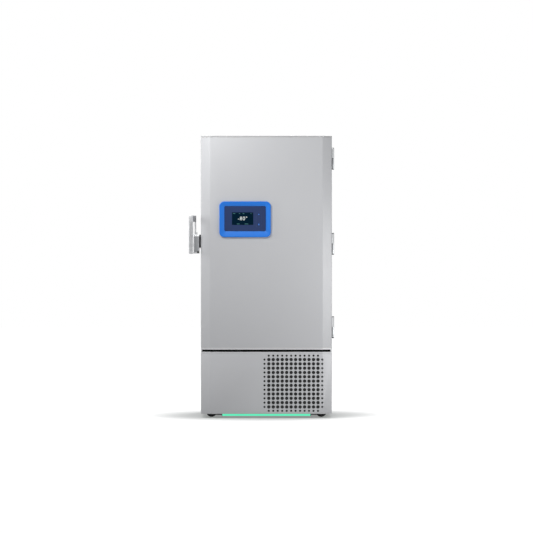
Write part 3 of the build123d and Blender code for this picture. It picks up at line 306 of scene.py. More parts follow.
def softRubber(name, colour):
    finish = Finish(name)
    finish.feed("Base Color", finish.blend(finish.noise(70, 4), shade(colour, 0.8), shade(colour, 1.3)))
    finish.feed("Roughness", finish.noise(120, 3) * 0.2 + 0.6)
    finish.bump(finish.noise(700, 2), 0.3, 0.0003)
    return finish.material


def foamFill(name, colour):
    finish = Finish(name, Roughness=0.9)
    cells = finish.node("ShaderNodeTexVoronoi", {}, {"Vector": finish.place(), "Scale": 420.0})
    finish.feed("Base Color", finish.blend(cells, shade(colour, 0.82), shade(colour, 1.06)))
    finish.bump(cells, 0.4, 0.0008)
    return finish.material


def glowing(name, colour, strength):
    finish = Finish(name, Base_Color=shade(colour, 0.1), Roughness=0.4, Emission_Strength=strength)
    finish.feed("Emission Color", finish.blend(finish.noise(12, 2), shade(colour, 0.94), shade(colour, 1.04)))
    return finish.material


finishes = {
    "cabinet_paint": paintedSteel("cabinetPaint", (0.52, 0.53, 0.55)),
    "door_paint": paintedSteel("doorPaint", (0.485, 0.49, 0.505), 0.42, 0.03),
    "foam": foamFill("polyurethaneFoam", (0.84, 0.75, 0.5)),
    "liner_steel": brushedMetal("linerSteel", (0.66, 0.66, 0.65), 0.34, (40, 40, 1)),
    "copper": brushedMetal("drawnCopper", (0.72, 0.38, 0.22), 0.3),
    "white_plastic": mouldedPlastic("whitePlastic", (0.78, 0.79, 0.80), 0.42),
    "grey_plastic": mouldedPlastic("greyPlastic", (0.12, 0.125, 0.135)),
    "black_plastic": mouldedPlastic("blackPlastic", (0.012, 0.012, 0.014), 0.45),
    "blue_plastic": glossPlastic("bluePlastic", (0.012, 0.17, 0.66), 0.34, 0.35, 0),
    "screen": glossPlastic("screenGlass", (0.014, 0.034, 0.115), 0.14, 0.25, 0),
    "seal_rubber": softRubber("sealRubber", (0.035, 0.035, 0.038)),
    "cast_metal": castMetal("castMetal", (0.42, 0.425, 0.435)),
    "hinge_steel": castMetal("hingeSteel", (0.5, 0.51, 0.52), 0.38),
    "wheel_rubber": softRubber("tyreRubber", (0.02, 0.02, 0.021)),
    "zinc_steel": brushedMetal("zincSteel", (0.5, 0.51, 0.52), 0.38),
    "light_lens": glowing("mintLens", (0.1, 0.82, 0.47), 1.0),
    "black_enamel": glossPlastic("blackEnamel", (0.012, 0.012, 0.013), 0.28),
    "fin_metal": brushedMetal("finMetal", (0.6, 0.61, 0.62), 0.4, (1, 1, 60)),
    "filter_foam": foamFill("filterFoam", (0.008, 0.008, 0.008)),
}
for subpart in frame["record"]["subparts"]:
    node = nodes[subpart["node"]]
    node.data.materials.clear()
    node.data.materials.append(finishes[subpart["material_slot"]])


# Door and lower cover

bevelledPlan = {
    "facet": 0.065,  # width of each side facet, seen from the front
    "facetDepth": 0.026,
    "crease": 0.003,
    "edgeRadius": 0.0048,
}


def bevelledBlock(name, low, high, softness):
    plan = bevelledPlan
    piece = addBlock(name, low, high)
    openEdit(piece)
    for x in (low[0] + plan["facet"], high[0] - plan["facet"]):
        cutAcross((x, 0, 0), (1, 0, 0))
    pickCorners(lambda c: near(c.y, low[1]) and (near(c.x, low[0]) or near(c.x, high[0])))
    bpy.ops.transform.translate(value=(0, plan["facetDepth"], 0))
    pickEdges(lambda c, d: abs(d.z) > 0.9 and near(c.y, low[1]))
    bpy.ops.mesh.bevel(offset=plan["crease"], segments=4, affect="EDGES")
    pickEdges(lambda c, d: abs(d.z) > 0.9 and near(c.y, low[1] + plan["facetDepth"]))
    bpy.ops.mesh.bevel(offset=plan["edgeRadius"], segments=6, affect="EDGES")
    closeEdit()
    softenEdges(piece, softness, 3, 40)
    return piece


doorLook = {
    "sheet": 0.0015,
    "topCap": 0.009,  # strip along the top edge, painted darker: painted shade
    "bottomCap": 0.014,  # strip along the bottom edge, painted paler: painted highlight
    "capGap": 0.0005,
    "windowMargin": 0.001,
    "cutReach": 0.010,
    "cutDepth": 0.006,
    "shellSoftness": 0.0008,
    "topSoftness": 0.0012,
    "bottomSoftness": 0.0018,
}


def makeDoor():
    low, high = map(Vector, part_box("door_skin"))
    look = doorLook
    capTop = high.z - look["topCap"]
    capLow = low.z + look["bottomCap"]
    shell = bevelledBlock("doorShell", (low.x, low.y, capLow), (high.x, high.y, capTop),
                          look["shellSoftness"])
    thickenSheet(shell, look["sheet"])
    windowLow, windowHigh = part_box("display_module")
    margin = look["windowMargin"]
    tool = addBlock("windowTool", (windowLow[0] - margin, low.y - look["cutReach"], windowLow[2] - margin),
                    (windowHigh[0] + margin, low.y + look["cutDepth"], windowHigh[2] + margin))
    cutWith(shell, tool)
    placePiece(shell, "door", "door_paint", finishes["door_paint"], "door_skin")
    # the top cap takes a darker copy of the door paint, painted shade; the bottom cap a paler copy, painted
    # highlight
    topCap = bevelledBlock("doorTopCap", (low.x, low.y, capTop + look["capGap"]), high, look["topSoftness"])
    placePiece(topCap, "door", "door_paint", edgePaintedShade)
    bottomCap = bevelledBlock("doorBottomCap", low, (high.x, high.y, capLow - look["capGap"]),
                              look["bottomSoftness"])
    placePiece(bottomCap, "door", "door_paint", edgePaintedHighlight)


# darker and paler copies of the door paint: painted shade and painted highlight for the end caps
edgePaintedShade = paintedSteel("edgePaintedShade", (0.40, 0.405, 0.415), 0.42, 0.1)
edgePaintedHighlight = paintedSteel("edgePaintedHighlight", (0.53, 0.535, 0.55), 0.42, 0.1)
makeDoor()
print("door shell and its end caps")

grille = {
    "columns": 12,
    "rows": 12,
    "pitchX": 0.03136,
    "pitchZ": 0.0302,
    "firstX": 0.0171,  # from the cabinet's centre line
    "firstZ": 0.0795,
    "holeRadius": 0.0121,
    "smallRadius": 0.0076,
    "borderX": 0.0302,
    "borderZ": 0.0274,
    "topCap": 0.009,
    "capGap": 0.0005,
    "sheet": 0.0015,
    "softness": 0.0012,
    "capSoftness": 0.0015,
    "drillDepth": 0.008,
}


def makeCover():
    low, high = map(Vector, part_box("lower_cover"))
    look = grille
    capZ = high.z - look["topCap"]
    pan = bevelledBlock("coverPan", low, (high.x, high.y, capZ), look["softness"])
    thickenSheet(pan, look["sheet"])
    middleX = (low.x + high.x) / 2
    xs = [middleX + look["firstX"] + look["pitchX"] * i for i in range(look["columns"])]
    zs = [look["firstZ"] + look["pitchZ"] * i for i in range(look["rows"])]
    drills = [(x, z, look["holeRadius"]) for x in xs for z in zs]
    drills += [(x, z, look["smallRadius"]) for x in xs
               for z in (zs[0] - look["borderZ"], zs[-1] + look["borderZ"])]
    drills += [(x, z, look["smallRadius"]) for z in zs
               for x in (xs[0] - look["borderX"], xs[-1] + look["borderX"])]
    drillY = low.y + look["drillDepth"] / 4
    tools = [addRod("drill", (x, drillY, z), radius, look["drillDepth"], "Y", 24) for x, z, radius in drills]
    cutWith(pan, joinPieces("drills", tools))
    placePiece(pan, "lower_cover", "door_paint", finishes["door_paint"], "lower_cover")
    cap = bevelledBlock("coverTopCap", (low.x, low.y, capZ + look["capGap"]), high, look["capSoftness"])
    # the cover's top cap takes the paler copy of the door paint, a painted highlight
    placePiece(cap, "lower_cover", "door_paint", edgePaintedHighlight)


gapLook = {
    "sideInset": 0.009,
    "clearance": 0.0008,
    "depth": 0.014,
    "corner": 0.003,
}


def makeGapShadeStrip():  # black strip put in the gap between the door and the lower cover, where there is only shade: painted shade
    look = gapLook
    doorLow, doorHigh = map(Vector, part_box("door_skin"))
    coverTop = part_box("lower_cover")[1][2]
    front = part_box("cabinet_shell")[0][1]
    low = (doorLow.x + look["sideInset"], front - look["depth"], coverTop + look["clearance"])
    high = (doorHigh.x - look["sideInset"], front, doorLow.z - look["clearance"])
    strip = addBlock("doorGapShadeStrip", low, high)
    softenEdges(strip, look["corner"], 3, 40)
    placePiece(strip, "cabinet", "seal_rubber", gapPaintedShade)


# near-black finish for the strip in the gap, painted shade
gapPaintedShade = glossPlastic("gapPaintedShade", (0.004, 0.004, 0.004), 0.85, 0.1, 0)
makeCover()
makeGapShadeStrip()
# the strip above the cover stands for the shade in the gap, painted shade
print("lower cover with its grille, and the seal above it")


# Display

display = {
    "corner": 0.035,
    "rim": 0.007,
    "rimSoftness": 0.003,
    "dish": 0.013,
    "dishEdge": 0.0008,
    "glassCorner": 0.009,
    "glassSoftness": 0.0006,
    "panelX": (-0.2408, -0.0918),  # liquid crystal panel, from the cabinet's centre line
    "panelZ": (1.356, 1.444),
    "panelCorner": 0.002,
    "panelDepth": (0.0003, 0.0006),  # each depth is before and behind the glass's front
    "iconX": -0.0529,
    "iconZ": (1.358, 1.430),
    "iconSize": 0.007,
    "columnWidth": 0.036,
    "columnHeight": 0.108,
    "columnLine": 0.0008,
    "columnCorner": 0.004,
    "columnDepth": (0.0003, 0.0002),
    "columnSunk": 0.0004,
    "arrowProud": 0.0003,
    "arrowThickness": 0.0004,
    "signDepth": (0.0005, -0.0001),
    "menuCorner": 0.0012,
    "dotCorner": 0.0006,
    "reading": "-80°",
    "readingHeight": 0.026,
    "figureShare": 0.72,  # a figure's height to the text's size
    "figureSpacing": 1.12,
    "readingProud": 0.0004,
    "ink": 0.0001,
    "statusMarks": ((-0.226, 0.016), (-0.188, 0.009), (-0.160, 0.012), (-0.108, 0.006)),  # place and width
    "statusDrop": 0.008,
    "footMarks": ((-0.197, 0.020), (-0.140, 0.026)),
    "footRise": 0.007,
    "markHeight": 0.0045,
    "markDepth": (0.0005, -0.0002),
}
coverLow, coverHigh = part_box("lower_cover")
cabinetMiddle = (coverLow[0] + coverHigh[0]) / 2
glassFront = Vector(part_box("display_glass")[0]).y


def roundedBlock(name, low, high, corner, softness, segments=10):
    piece = addBlock(name, low, high)
    openEdit(piece)
    pickEdges(lambda c, d: abs(d.y) > 0.9)
    bpy.ops.mesh.bevel(offset=corner, segments=segments, affect="EDGES")
    if softness:
        pickFaces(lambda c, n: n.y < -0.9)
        bpy.ops.mesh.region_to_loop()
        bpy.ops.mesh.bevel(offset=softness, segments=4, affect="EDGES")
    closeEdit()
    return piece


def makeBezel():
    low, high = map(Vector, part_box("display_bezel"))
    glassLow, glassHigh = map(Vector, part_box("display_glass"))
    look = display
    bezel = roundedBlock("displayBezel", low, high, look["corner"], look["rimSoftness"])
    openEdit(bezel)
    pickFaces(lambda c, n: n.y < -0.99 and near(c.y, low.y))
    bpy.ops.mesh.inset(thickness=look["rim"] - look["rimSoftness"], depth=0)
    dishInset = look["corner"] - look["rim"] - look["glassCorner"]
    bpy.ops.mesh.inset(thickness=dishInset, depth=0)
    bpy.ops.transform.translate(value=(0, look["dish"], 0))
    width = high.x - low.x - 2 * (look["rim"] + dishInset)
    height = high.z - low.z - 2 * (look["rim"] + dishInset)
    middle = (low + high) / 2
    shrink = ((glassHigh.x - glassLow.x) / width, 1, (glassHigh.z - glassLow.z) / height)
    bpy.ops.transform.resize(value=shrink, center_override=tuple(middle))
    bpy.ops.transform.translate(value=(0, 0, (glassLow.z + glassHigh.z - low.z - high.z) / 2))
    bpy.ops.mesh.region_to_loop()
    bpy.ops.mesh.bevel(offset=look["dishEdge"], segments=2, affect="EDGES")
    closeEdit()
    placePiece(bezel, "door", "blue_plastic", finishes["blue_plastic"], "display_bezel")
    glass = roundedBlock("displayGlass", glassLow, glassHigh, look["glassCorner"], look["glassSoftness"])
    placePiece(glass, "door", "screen", finishes["screen"], "display_glass")


def addPlate(name, x, z, width, height, depth, corner, softness=0, segments=3):  # thin, on the glass
    before, behind = depth
    low = (x - width / 2, glassFront - before, z - height / 2)
    high = (x + width / 2, glassFront + behind, z + height / 2)
    return roundedBlock(name, low, high, corner, softness, segments)


def makeReadout():
    look = display
    left, right = (cabinetMiddle + x for x in look["panelX"])
    bottom, top = look["panelZ"]
    middleX, middleZ = (left + right) / 2, (bottom + top) / 2
    panel = addPlate("liquidCrystal", middleX, middleZ, right - left, top - bottom, look["panelDepth"],
                     look["panelCorner"], look["ink"], 4)
    placePiece(panel, "door", "screen", panelGlow)
    clearSelection()
    place = (middleX, glassFront - look["readingProud"], middleZ)
    bpy.ops.object.text_add(location=place, rotation=(math.pi / 2, 0, 0))
    reading = bpy.context.object
    reading.data.body = look["reading"]
    reading.data.align_x = "CENTER"
    reading.data.align_y = "CENTER"
    reading.data.size = look["readingHeight"] / look["figureShare"]
    reading.data.extrude = look["ink"]
    reading.data.space_character = look["figureSpacing"]
    pickObject(reading)
    bpy.ops.object.convert(target="MESH")
    reading = bpy.context.object
    reading.name = "temperatureReading"
    settlePlace(reading)
    placePiece(reading, "door", "screen", readingGlow)
    marks = [(x, width, top - look["statusDrop"]) for x, width in look["statusMarks"]]
    marks += [(x, width, bottom + look["footRise"]) for x, width in look["footMarks"]]
    height = look["markHeight"]
    bars = [addPlate("statusMark", cabinetMiddle + x, z, width, height, look["markDepth"], height * 0.4)
            for x, width, z in marks]
    placePiece(joinPieces("statusMarks", bars), "door", "screen", markGlow)


def makeTouchKeys():
    look = display
    x = cabinetMiddle + look["iconX"]
    low, high = look["iconZ"]
    size = look["iconSize"]
    column = addPlate("touchColumn", x, (low + high) / 2, look["columnWidth"], look["columnHeight"],
                      look["columnDepth"], look["columnCorner"], segments=5)
    openEdit(column)
    pickFaces(lambda c, n: n.y < -0.9)
    bpy.ops.mesh.inset(thickness=look["columnLine"], depth=0)
    bpy.ops.transform.translate(value=(0, look["columnSunk"], 0))
    closeEdit()
    placePiece(column, "door", "screen", columnLine)
    arrow = addRod("touchArrow", (x, glassFront - look["arrowProud"], high), size * 0.75,
                   look["arrowThickness"], "Y", 3)
    slab = addPlate("touchMenu", x, low, size * 1.2, size * 0.9, look["signDepth"], look["menuCorner"])
    dot = addPlate("touchDot", x, low + size * 1.075, size * 0.6, size * 0.35, look["signDepth"],
                   look["dotCorner"])
    placePiece(joinPieces("touchMarks", [arrow, slab, dot]), "door", "screen", iconGlow)


panelGlow = glossPlastic("liquidCrystal", (0.0006, 0.011, 0.025), 0.22, 0.02, 0)
readingGlow = glowing("readingGlow", (0.8, 0.86, 0.86), 0.8)
markGlow = glowing("markGlow", (0.02, 0.16, 0.17), 0.7)
iconGlow = glowing("iconGlow", (0.03, 0.2, 0.75), 0.9)
columnLine = glossPlastic("columnLine", (0.04, 0.075, 0.22), 0.2, 0.2, 0)
makeBezel()
makeReadout()
makeTouchKeys()
print("display")


# Handle

handleLook = {
    "gripWidth": 0.030,
    "gripDepth": 0.026,
    "shoulder": 0.014,  # rounding of the outer top corner
    "heel": 0.006,
    "softness": 0.005,
    "armWidth": 0.011,
    "armDepth": 0.020,
    "armCorner": 0.004,
    "bridge": 0.044,
    "knuckle": 0.010,
    "flutes": 3,
    "flutePitch": 0.0075,
    "fluteRadius": 0.0022,
    "fluteLow": 1.175,
    "fluteHigh": 1.375,
    "hubRadius": 0.010,
    "hubHeight": 0.016,
    "spindleBack": 0.032,  # from the door's front
    "spindleOut": 0.035,  # from the door's left side
    "armOut": 0.033,  # the arm's inner face, from there too
    "armGap": 0.0005,  # over the latch
    "armSoftness": 0.0015,
    "bridgeEndSoftness": 0.002,
    "bridgeSoftness": 0.003,
    "hubSoftness": 0.0012,
}


def uprightBar(name, low, high, corner, softness):
    piece = addBlock(name, low, high)
    openEdit(piece)
    pickEdges(lambda c, d: abs(d.z) > 0.9)
    bpy.ops.mesh.bevel(offset=corner, segments=8, affect="EDGES")
    closeEdit()
    softenEdges(piece, softness, 4, 50)
    return piece


def makeHandle():
    low, high = map(Vector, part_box("handle_lever"))
    doorLow = Vector(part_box("door_skin")[0])
    look = handleLook
    gripRight = low.x + look["gripWidth"]
    grip = addBlock("pullGrip", low, (gripRight, low.y + look["gripDepth"], high.z))
    openEdit(grip)
    pickEdges(lambda c, d: abs(d.y) > 0.9 and near(c.x, low.x) and near(c.z, high.z))
    bpy.ops.mesh.bevel(offset=look["shoulder"], segments=9, affect="EDGES")
    pickEdges(lambda c, d: abs(d.y) > 0.9 and near(c.x, low.x) and near(c.z, low.z))
    bpy.ops.mesh.bevel(offset=look["heel"], segments=5, affect="EDGES")
    closeEdit()
    softenEdges(grip, look["softness"], 5, 40)
    fluteZ = (look["fluteLow"] + look["fluteHigh"]) / 2
    fluteLength = look["fluteHigh"] - look["fluteLow"]
    tools = []
    for i in range(look["flutes"]):
        x = (low.x + gripRight) / 2 + (i - (look["flutes"] - 1) / 2) * look["flutePitch"]
        tools.append(addRod("fluteTool", (x, low.y, fluteZ), look["fluteRadius"], fluteLength, "Z", 20))
    cutWith(grip, joinPieces("fluteTools", tools))
    placePiece(grip, "handle", "cast_metal", finishes["cast_metal"], "handle_lever")
    spindleX = doorLow.x - look["spindleOut"]
    spindleY = doorLow.y + look["spindleBack"]
    armRight = doorLow.x - look["armOut"]
    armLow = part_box("latch_housing")[1][2] + look["armGap"]
    armNear = (armRight - look["armWidth"], spindleY - look["armDepth"] / 2)
    armFar = (armRight, spindleY + look["armDepth"] / 2)
    arm = uprightBar("gripArm", (*armNear, armLow), (*armFar, high.z), look["armCorner"],
                     look["armSoftness"])
    placePiece(arm, "handle", "cast_metal", finishes["cast_metal"])
    knuckle = look["knuckle"]
    bridgeZ = high.z - look["bridge"]
    front = uprightBar("bridgeFront", (low.x + knuckle, low.y + knuckle, bridgeZ),
                       (gripRight, low.y + knuckle + look["gripDepth"], high.z), look["armCorner"],
                       look["bridgeEndSoftness"])
    back = uprightBar("bridgeBack", (*armNear, bridgeZ), (*armFar, high.z), look["armCorner"],
                      look["bridgeEndSoftness"])
    bridge = hullPiece("gripBridge", [front, back])
    softenEdges(bridge, look["bridgeSoftness"], 3, 50)
    placePiece(bridge, "handle", "cast_metal", finishes["cast_metal"])
    hub = addRod("gripHub", (spindleX, spindleY, armLow + look["hubHeight"] / 2), look["hubRadius"],
                 look["hubHeight"], "Z", 40)
    softenEdges(hub, look["hubSoftness"], 3, 50)
    placePiece(hub, "handle", "cast_metal", finishes["cast_metal"])


makeHandle()
print("handle")


# Latch body on the door's left side

latchLook = {
    "padWidth": 0.0105,
    "padHeight": 0.091,
    "padFront": 0.036,  # from the door's front
    "cap": 0.013,
    "foot": 0.009,
    "waist": 0.003,  # how far the middle stands back from the cap
    "corner": 0.006,
    "slotZ": (1.205, 1.229),
    "slotWall": 0.0045,
    "slotFront": 0.018,
    "lockX": 0.020,  # from the door's left side
    "lockZ": 1.165,
    "lockGap": 0.0004,
    "wellDepth": 0.03,
    "cutReach": 0.01,  # how far the slot and the well reach past the body
    "bodyInset": 0.0005,
    "bodyCorner": 0.009,
    "endSoftness": 0.002,
    "bodySoftness": 0.001,
    "padSoftness": 0.0015,
}


def makeLatch():
    low, high = map(Vector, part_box("latch_housing"))
    doorLow = Vector(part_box("door_skin")[0])
    look = latchLook
    right = high.x - look["padWidth"]
    cap = uprightBar("latchCap", (low.x, low.y, high.z - look["cap"]), (right, high.y, high.z),
                     look["corner"], look["endSoftness"])
    foot = uprightBar("latchFoot", low, (right, high.y, low.z + look["foot"]), look["corner"],
                      look["endSoftness"])
    waist = look["waist"]
    inset = look["bodyInset"]
    body = uprightBar("latchBody", (low.x + waist, low.y + waist, low.z + look["foot"] / 2),
                      (right - inset, high.y - inset, high.z - look["cap"] / 2), look["bodyCorner"],
                      look["bodySoftness"])
    lockLow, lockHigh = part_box("lock_cylinder")
    lockRadius = (lockHigh[2] - lockLow[2]) / 2 + look["lockGap"]
    slotLow, slotHigh = look["slotZ"]
    reach = look["cutReach"]
    slot = addBlock("slotTool", (low.x - reach, doorLow.y + look["slotFront"], slotLow),
                    (right - look["slotWall"], high.y + reach, slotHigh))
    cutWith(body, slot)
    for piece in (foot, body):
        well = addRod("lockTool", (doorLow.x - look["lockX"], low.y + reach, look["lockZ"]), lockRadius,
                      look["wellDepth"], "Y", 32)
        cutWith(piece, well)
    # the cap takes a paler copy of the cast metal, a painted highlight; the body a darker copy, painted shade
    placePiece(cap, "door", "cast_metal", latchCapPaintedHighlight)
    placePiece(foot, "door", "cast_metal", finishes["cast_metal"])
    placePiece(body, "door", "cast_metal", latchBodyPaintedShade, "latch_housing")
    pad = addBlock("latchPad", (right, doorLow.y + look["padFront"], high.z - look["padHeight"]),
                   (high.x, high.y, high.z))
    softenEdges(pad, look["padSoftness"], 3, 50)
    placePiece(pad, "door", "seal_rubber", finishes["seal_rubber"])


# paler and darker copies of the cast metal: painted highlight on the latch's cap, painted shade on its body
latchCapPaintedHighlight = castMetal("latchCapPaintedHighlight", (0.78, 0.79, 0.8), 0.28)
latchBodyPaintedShade = castMetal("latchBodyPaintedShade", (0.26, 0.265, 0.275), 0.4)
makeLatch()
print("latch")


# Door hinges

hingeLook = {
    "leaf": 0.006,
    "radius": 0.0085,
    "reach": 0.018,
    "split": 0.080,
    "gap": 0.0006,
    "rootEdge": 0.009,  # from the pin's axis
    "rootDepth": 0.012,
    "tipDepth": 0.002,
    "capHeight": 0.006,
    "capSoftness": 0.0028,
    "screws": 3,
    "screwRadius": 0.0042,
    "screwProud": 0.0012,
    "screwEdge": 0.012,  # from the leaf's far edge
    "softness": 0.0012,
}
screwLook = {
    "height": 0.0024,
    "rim": 0.45,  # the rim and the recess's wall are shares of the radius
    "wall": 0.06,
    "recess": 0.0013,
    "softness": 0.0004,
}
pinLow, pinHigh = map(Vector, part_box("hinge_pins"))
hingeAxis = (pinLow + pinHigh) / 2


def solidLows(node):  # lowest corners of the loose solids of a CAD node
    mesh = nodes[node].data
    cage = bmesh.new()
    cage.from_mesh(mesh)
    bmesh.ops.remove_doubles(cage, verts=cage.verts, dist=1e-6)
    left = set(cage.verts)
    lows = []
    while left:
        start = left.pop()
        stack = [start]
        lowest = start.co.copy()
        while stack:
            corner = stack.pop()
            lowest = Vector(min(a, b) for a, b in zip(lowest, corner.co))
            for edge in corner.link_edges:
                other = edge.other_vert(corner)
                if other in left:
                    left.remove(other)
                    stack.append(other)
        lows.append(lowest)
    cage.free()
    return lows


def addScrew(place, radius, along):  # its recess opens to the right, or to the back
    look = screwLook
    outward = {"X": Vector((1, 0, 0)), "Y": Vector((0, 1, 0))}[along]
    head = addRod("screw", place, radius, look["height"], along, 16)
    openEdit(head)
    pickFaces(lambda c, n: n.dot(outward) > 0.9)
    bpy.ops.mesh.inset(thickness=radius * look["rim"], depth=0)
    bpy.ops.mesh.inset(thickness=radius * look["wall"], depth=-look["recess"])
    closeEdit()
    softenEdges(head, look["softness"], 2, 60)
    return head


# Half a hinge: leaf, knuckle, cap and screws; far is the leaf's edge away from the pin
def makeHingeHalf(number, body, replaced, low, high, far, way):
    look = hingeLook
    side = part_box("door_skin")[1][0]
    capHeight = look["capHeight"]
    capAt = (low, low + capHeight) if way > 0 else (high - capHeight, high)
    knuckleLow = low + (capHeight if way > 0 else 0)
    knuckleHigh = high - (capHeight if way < 0 else 0)
    length = knuckleHigh - knuckleLow
    knuckle = addRod("knuckle", (hingeAxis.x, hingeAxis.y, (knuckleLow + knuckleHigh) / 2), look["radius"],
                     length, "Z", 40)
    rootNear = hingeAxis.y + way * look["rootEdge"]
    rootFar = rootNear + way * look["rootDepth"]
    root = addBlock("root", (side, min(rootNear, rootFar), knuckleLow),
                    (side + look["reach"], max(rootNear, rootFar), knuckleHigh))
    tipNear = far - way * look["tipDepth"]
    tip = addBlock("tip", (side, min(far, tipNear), knuckleLow),
                   (side + look["leaf"], max(far, tipNear), knuckleHigh))
    prefix = f"hinge{body.capitalize()}"
    leaf = hullPiece(f"{prefix}Leaf{number}", [root, tip])
    leaf = joinPieces(leaf.name, [leaf, knuckle])
    softenEdges(leaf, look["softness"], 3, 40)
    placePiece(leaf, body, "hinge_steel", finishes["hinge_steel"], *replaced)
    cap = addRod(f"{prefix}Cap{number}", (hingeAxis.x, hingeAxis.y, sum(capAt) / 2), look["radius"],
                 capAt[1] - capAt[0], "Z", 40)
    softenEdges(cap, look["capSoftness"], 5, 50)
    placePiece(cap, body, "black_plastic", capGrey)
    screwX = side + look["leaf"] + look["screwProud"]
    screwY = far - way * look["screwEdge"]
    heads = []
    for i in range(look["screws"]):
        z = knuckleLow + (i + 0.5) * length / look["screws"]
        heads.append(addScrew((screwX, screwY, z), look["screwRadius"], "X"))
    screws = joinPieces(f"{prefix}Screws{number}", heads)
    placePiece(screws, body, "zinc_steel", finishes["zinc_steel"])


def makeHinges():
    leafLow, leafHigh = map(Vector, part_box("door_hinge_leaves"))
    look = hingeLook
    bottoms = sorted({round(low.z, 5) for low in solidLows("hinge_pins")})
    height = leafHigh.z - bottoms[-1]
    farBack = 2 * hingeAxis.y - leafLow.y
    for number, bottom in enumerate(bottoms, start=1):
        first = number == 1  # a CAD node has the leaves of all three hinges, so one leaf replaces it
        splitTop = bottom + look["split"]
        makeHingeHalf(number, "cabinet", ["cabinet_hinge_leaves"] if first else [], bottom, splitTop,
                      farBack, 1)
        makeHingeHalf(number, "door", ["door_hinge_leaves"] if first else [], splitTop + look["gap"],
                      bottom + height, leafLow.y, -1)


capGrey = mouldedPlastic("hingeCap", (0.07, 0.072, 0.078), 0.4)
makeHinges()
print("hinges")


# Screws that hold the rear service panel

backLook = {
    "screwRadius": 0.005,
    "margin": 0.014,
    "screwProud": 0.0006,
    "columns": 4,
    "rows": 3,
}


def spread(low, high, margin, count):  # even places between the margins
    return [low + margin + i * (high - low - 2 * margin) / (count - 1) for i in range(count)]


def makeBackScrews():
    low, high = map(Vector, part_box("rear_service_panel"))
    look = backLook
    across = spread(low.x, high.x, look["margin"], look["columns"])
    up = spread(low.z, high.z, look["margin"], look["rows"])
    heads = []
    for i, x in enumerate(across):
        for j, z in enumerate(up):
            if i in (0, look["columns"] - 1) or j in (0, look["rows"] - 1):
                heads.append(addScrew((x, high.y + look["screwProud"], z), look["screwRadius"], "Y"))
    placePiece(joinPieces("rearPanelScrews", heads), "cabinet", "zinc_steel", finishes["zinc_steel"])


makeBackScrews()
print("screws of the rear panel")


# Wheels

wheelLook = {
    "crown": 0.004,  # how round the tread is
    "hubRecess": 0.004,
    "hubRadius": 0.026,
    "hubWall": 0.0015,
    "bossRadius": 0.009,
    "discLift": 0.0004,
    "discGap": 0.002,
    "discThickness": 0.0016,
    "discRim": 0.004,
    "discWall": 0.001,
    "discStep": 0.0007,
    "boreGap": 0.0005,
    "boreLength": 0.01,
}


def makeTyre(corner, middle, radius, width):
    look = wheelLook
    tyre = addRod(f"tyre_{corner}", middle, radius, width, "Y", 64)
    openEdit(tyre)
    for face in (-1, 1):
        side = middle.y + face * width / 2
        pickFaces(lambda c, n: near(c.y, side) and abs(n.y) > 0.9)
        bpy.ops.mesh.inset(thickness=radius - look["hubRadius"], depth=0)
        bpy.ops.mesh.inset(thickness=look["hubWall"], depth=-look["hubRecess"])
        floorWidth = look["hubRadius"] - look["hubWall"] - look["bossRadius"] - look["hubWall"]
        bpy.ops.mesh.inset(thickness=floorWidth, depth=0)
        bpy.ops.mesh.inset(thickness=look["hubWall"], depth=look["hubRecess"])
    pickEdges(lambda c, d: near((c - middle).xz.length, radius, 0.001) and abs(d.y) < 0.1)
    bpy.ops.mesh.bevel(offset=look["crown"], segments=5, affect="EDGES")
    closeEdit()
    placePiece(tyre, f"wheel_{corner}", "wheel_rubber", finishes["wheel_rubber"], f"caster_wheel_{corner}")


def makeHubDisc(corner, middle, width, face):
    look = wheelLook
    side = middle.y + face * (width / 2 - look["hubRecess"] + look["discLift"])
    disc = addRod(f"hub_{corner}_{'front' if face < 0 else 'back'}", (middle.x, side, middle.z),
                  look["hubRadius"] - look["discGap"], look["discThickness"], "Y", 48)
    openEdit(disc)
    pickFaces(lambda c, n: n.y * face > 0.9)
    bpy.ops.mesh.inset(thickness=look["discRim"], depth=0)
    bpy.ops.mesh.inset(thickness=look["discWall"], depth=-look["discStep"])
    closeEdit()
    bore = addRod("boreTool", (middle.x, side, middle.z), look["bossRadius"] - look["boreGap"],
                  look["boreLength"], "Y", 32)
    cutWith(disc, bore)
    placePiece(disc, f"wheel_{corner}", "grey_plastic", hubGrey)


def makeWheel(corner):
    low, high = map(Vector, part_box(f"caster_wheel_{corner}"))
    middle = (low + high) / 2
    width = high.y - low.y
    makeTyre(corner, middle, (high.z - low.z) / 2, width)
    for face in (-1, 1):
        makeHubDisc(corner, middle, width, face)


hubGrey = mouldedPlastic("hubGrey", (0.10, 0.102, 0.108), 0.4)
for corner in ("front_left", "front_right", "rear_left", "rear_right"):
    makeWheel(corner)
print("wheels")


# Room, lights and camera

studio = {
    "floorSize": 60,
    "cameraBack": 20.77,  # from the door's front
    "lens": 200,
    "sensor": 36,
    "aimX": 0.0335,
    "aimZ": 1.0645,
    "whiteRays": ("Is Camera Ray", "Is Glossy Ray", "Is Transmission Ray"),  # these see a white room
    "ambient": (0.2, 0.202, 0.205),
    "shadowReach": (0.45, 1.15),  # the painted contact shadow on the floor fades to white over this distance
    "paintedShadowGlow": (0.25, 0.26, 0.255),
    "glowFar": (0.97, 0.97, 0.97),
}


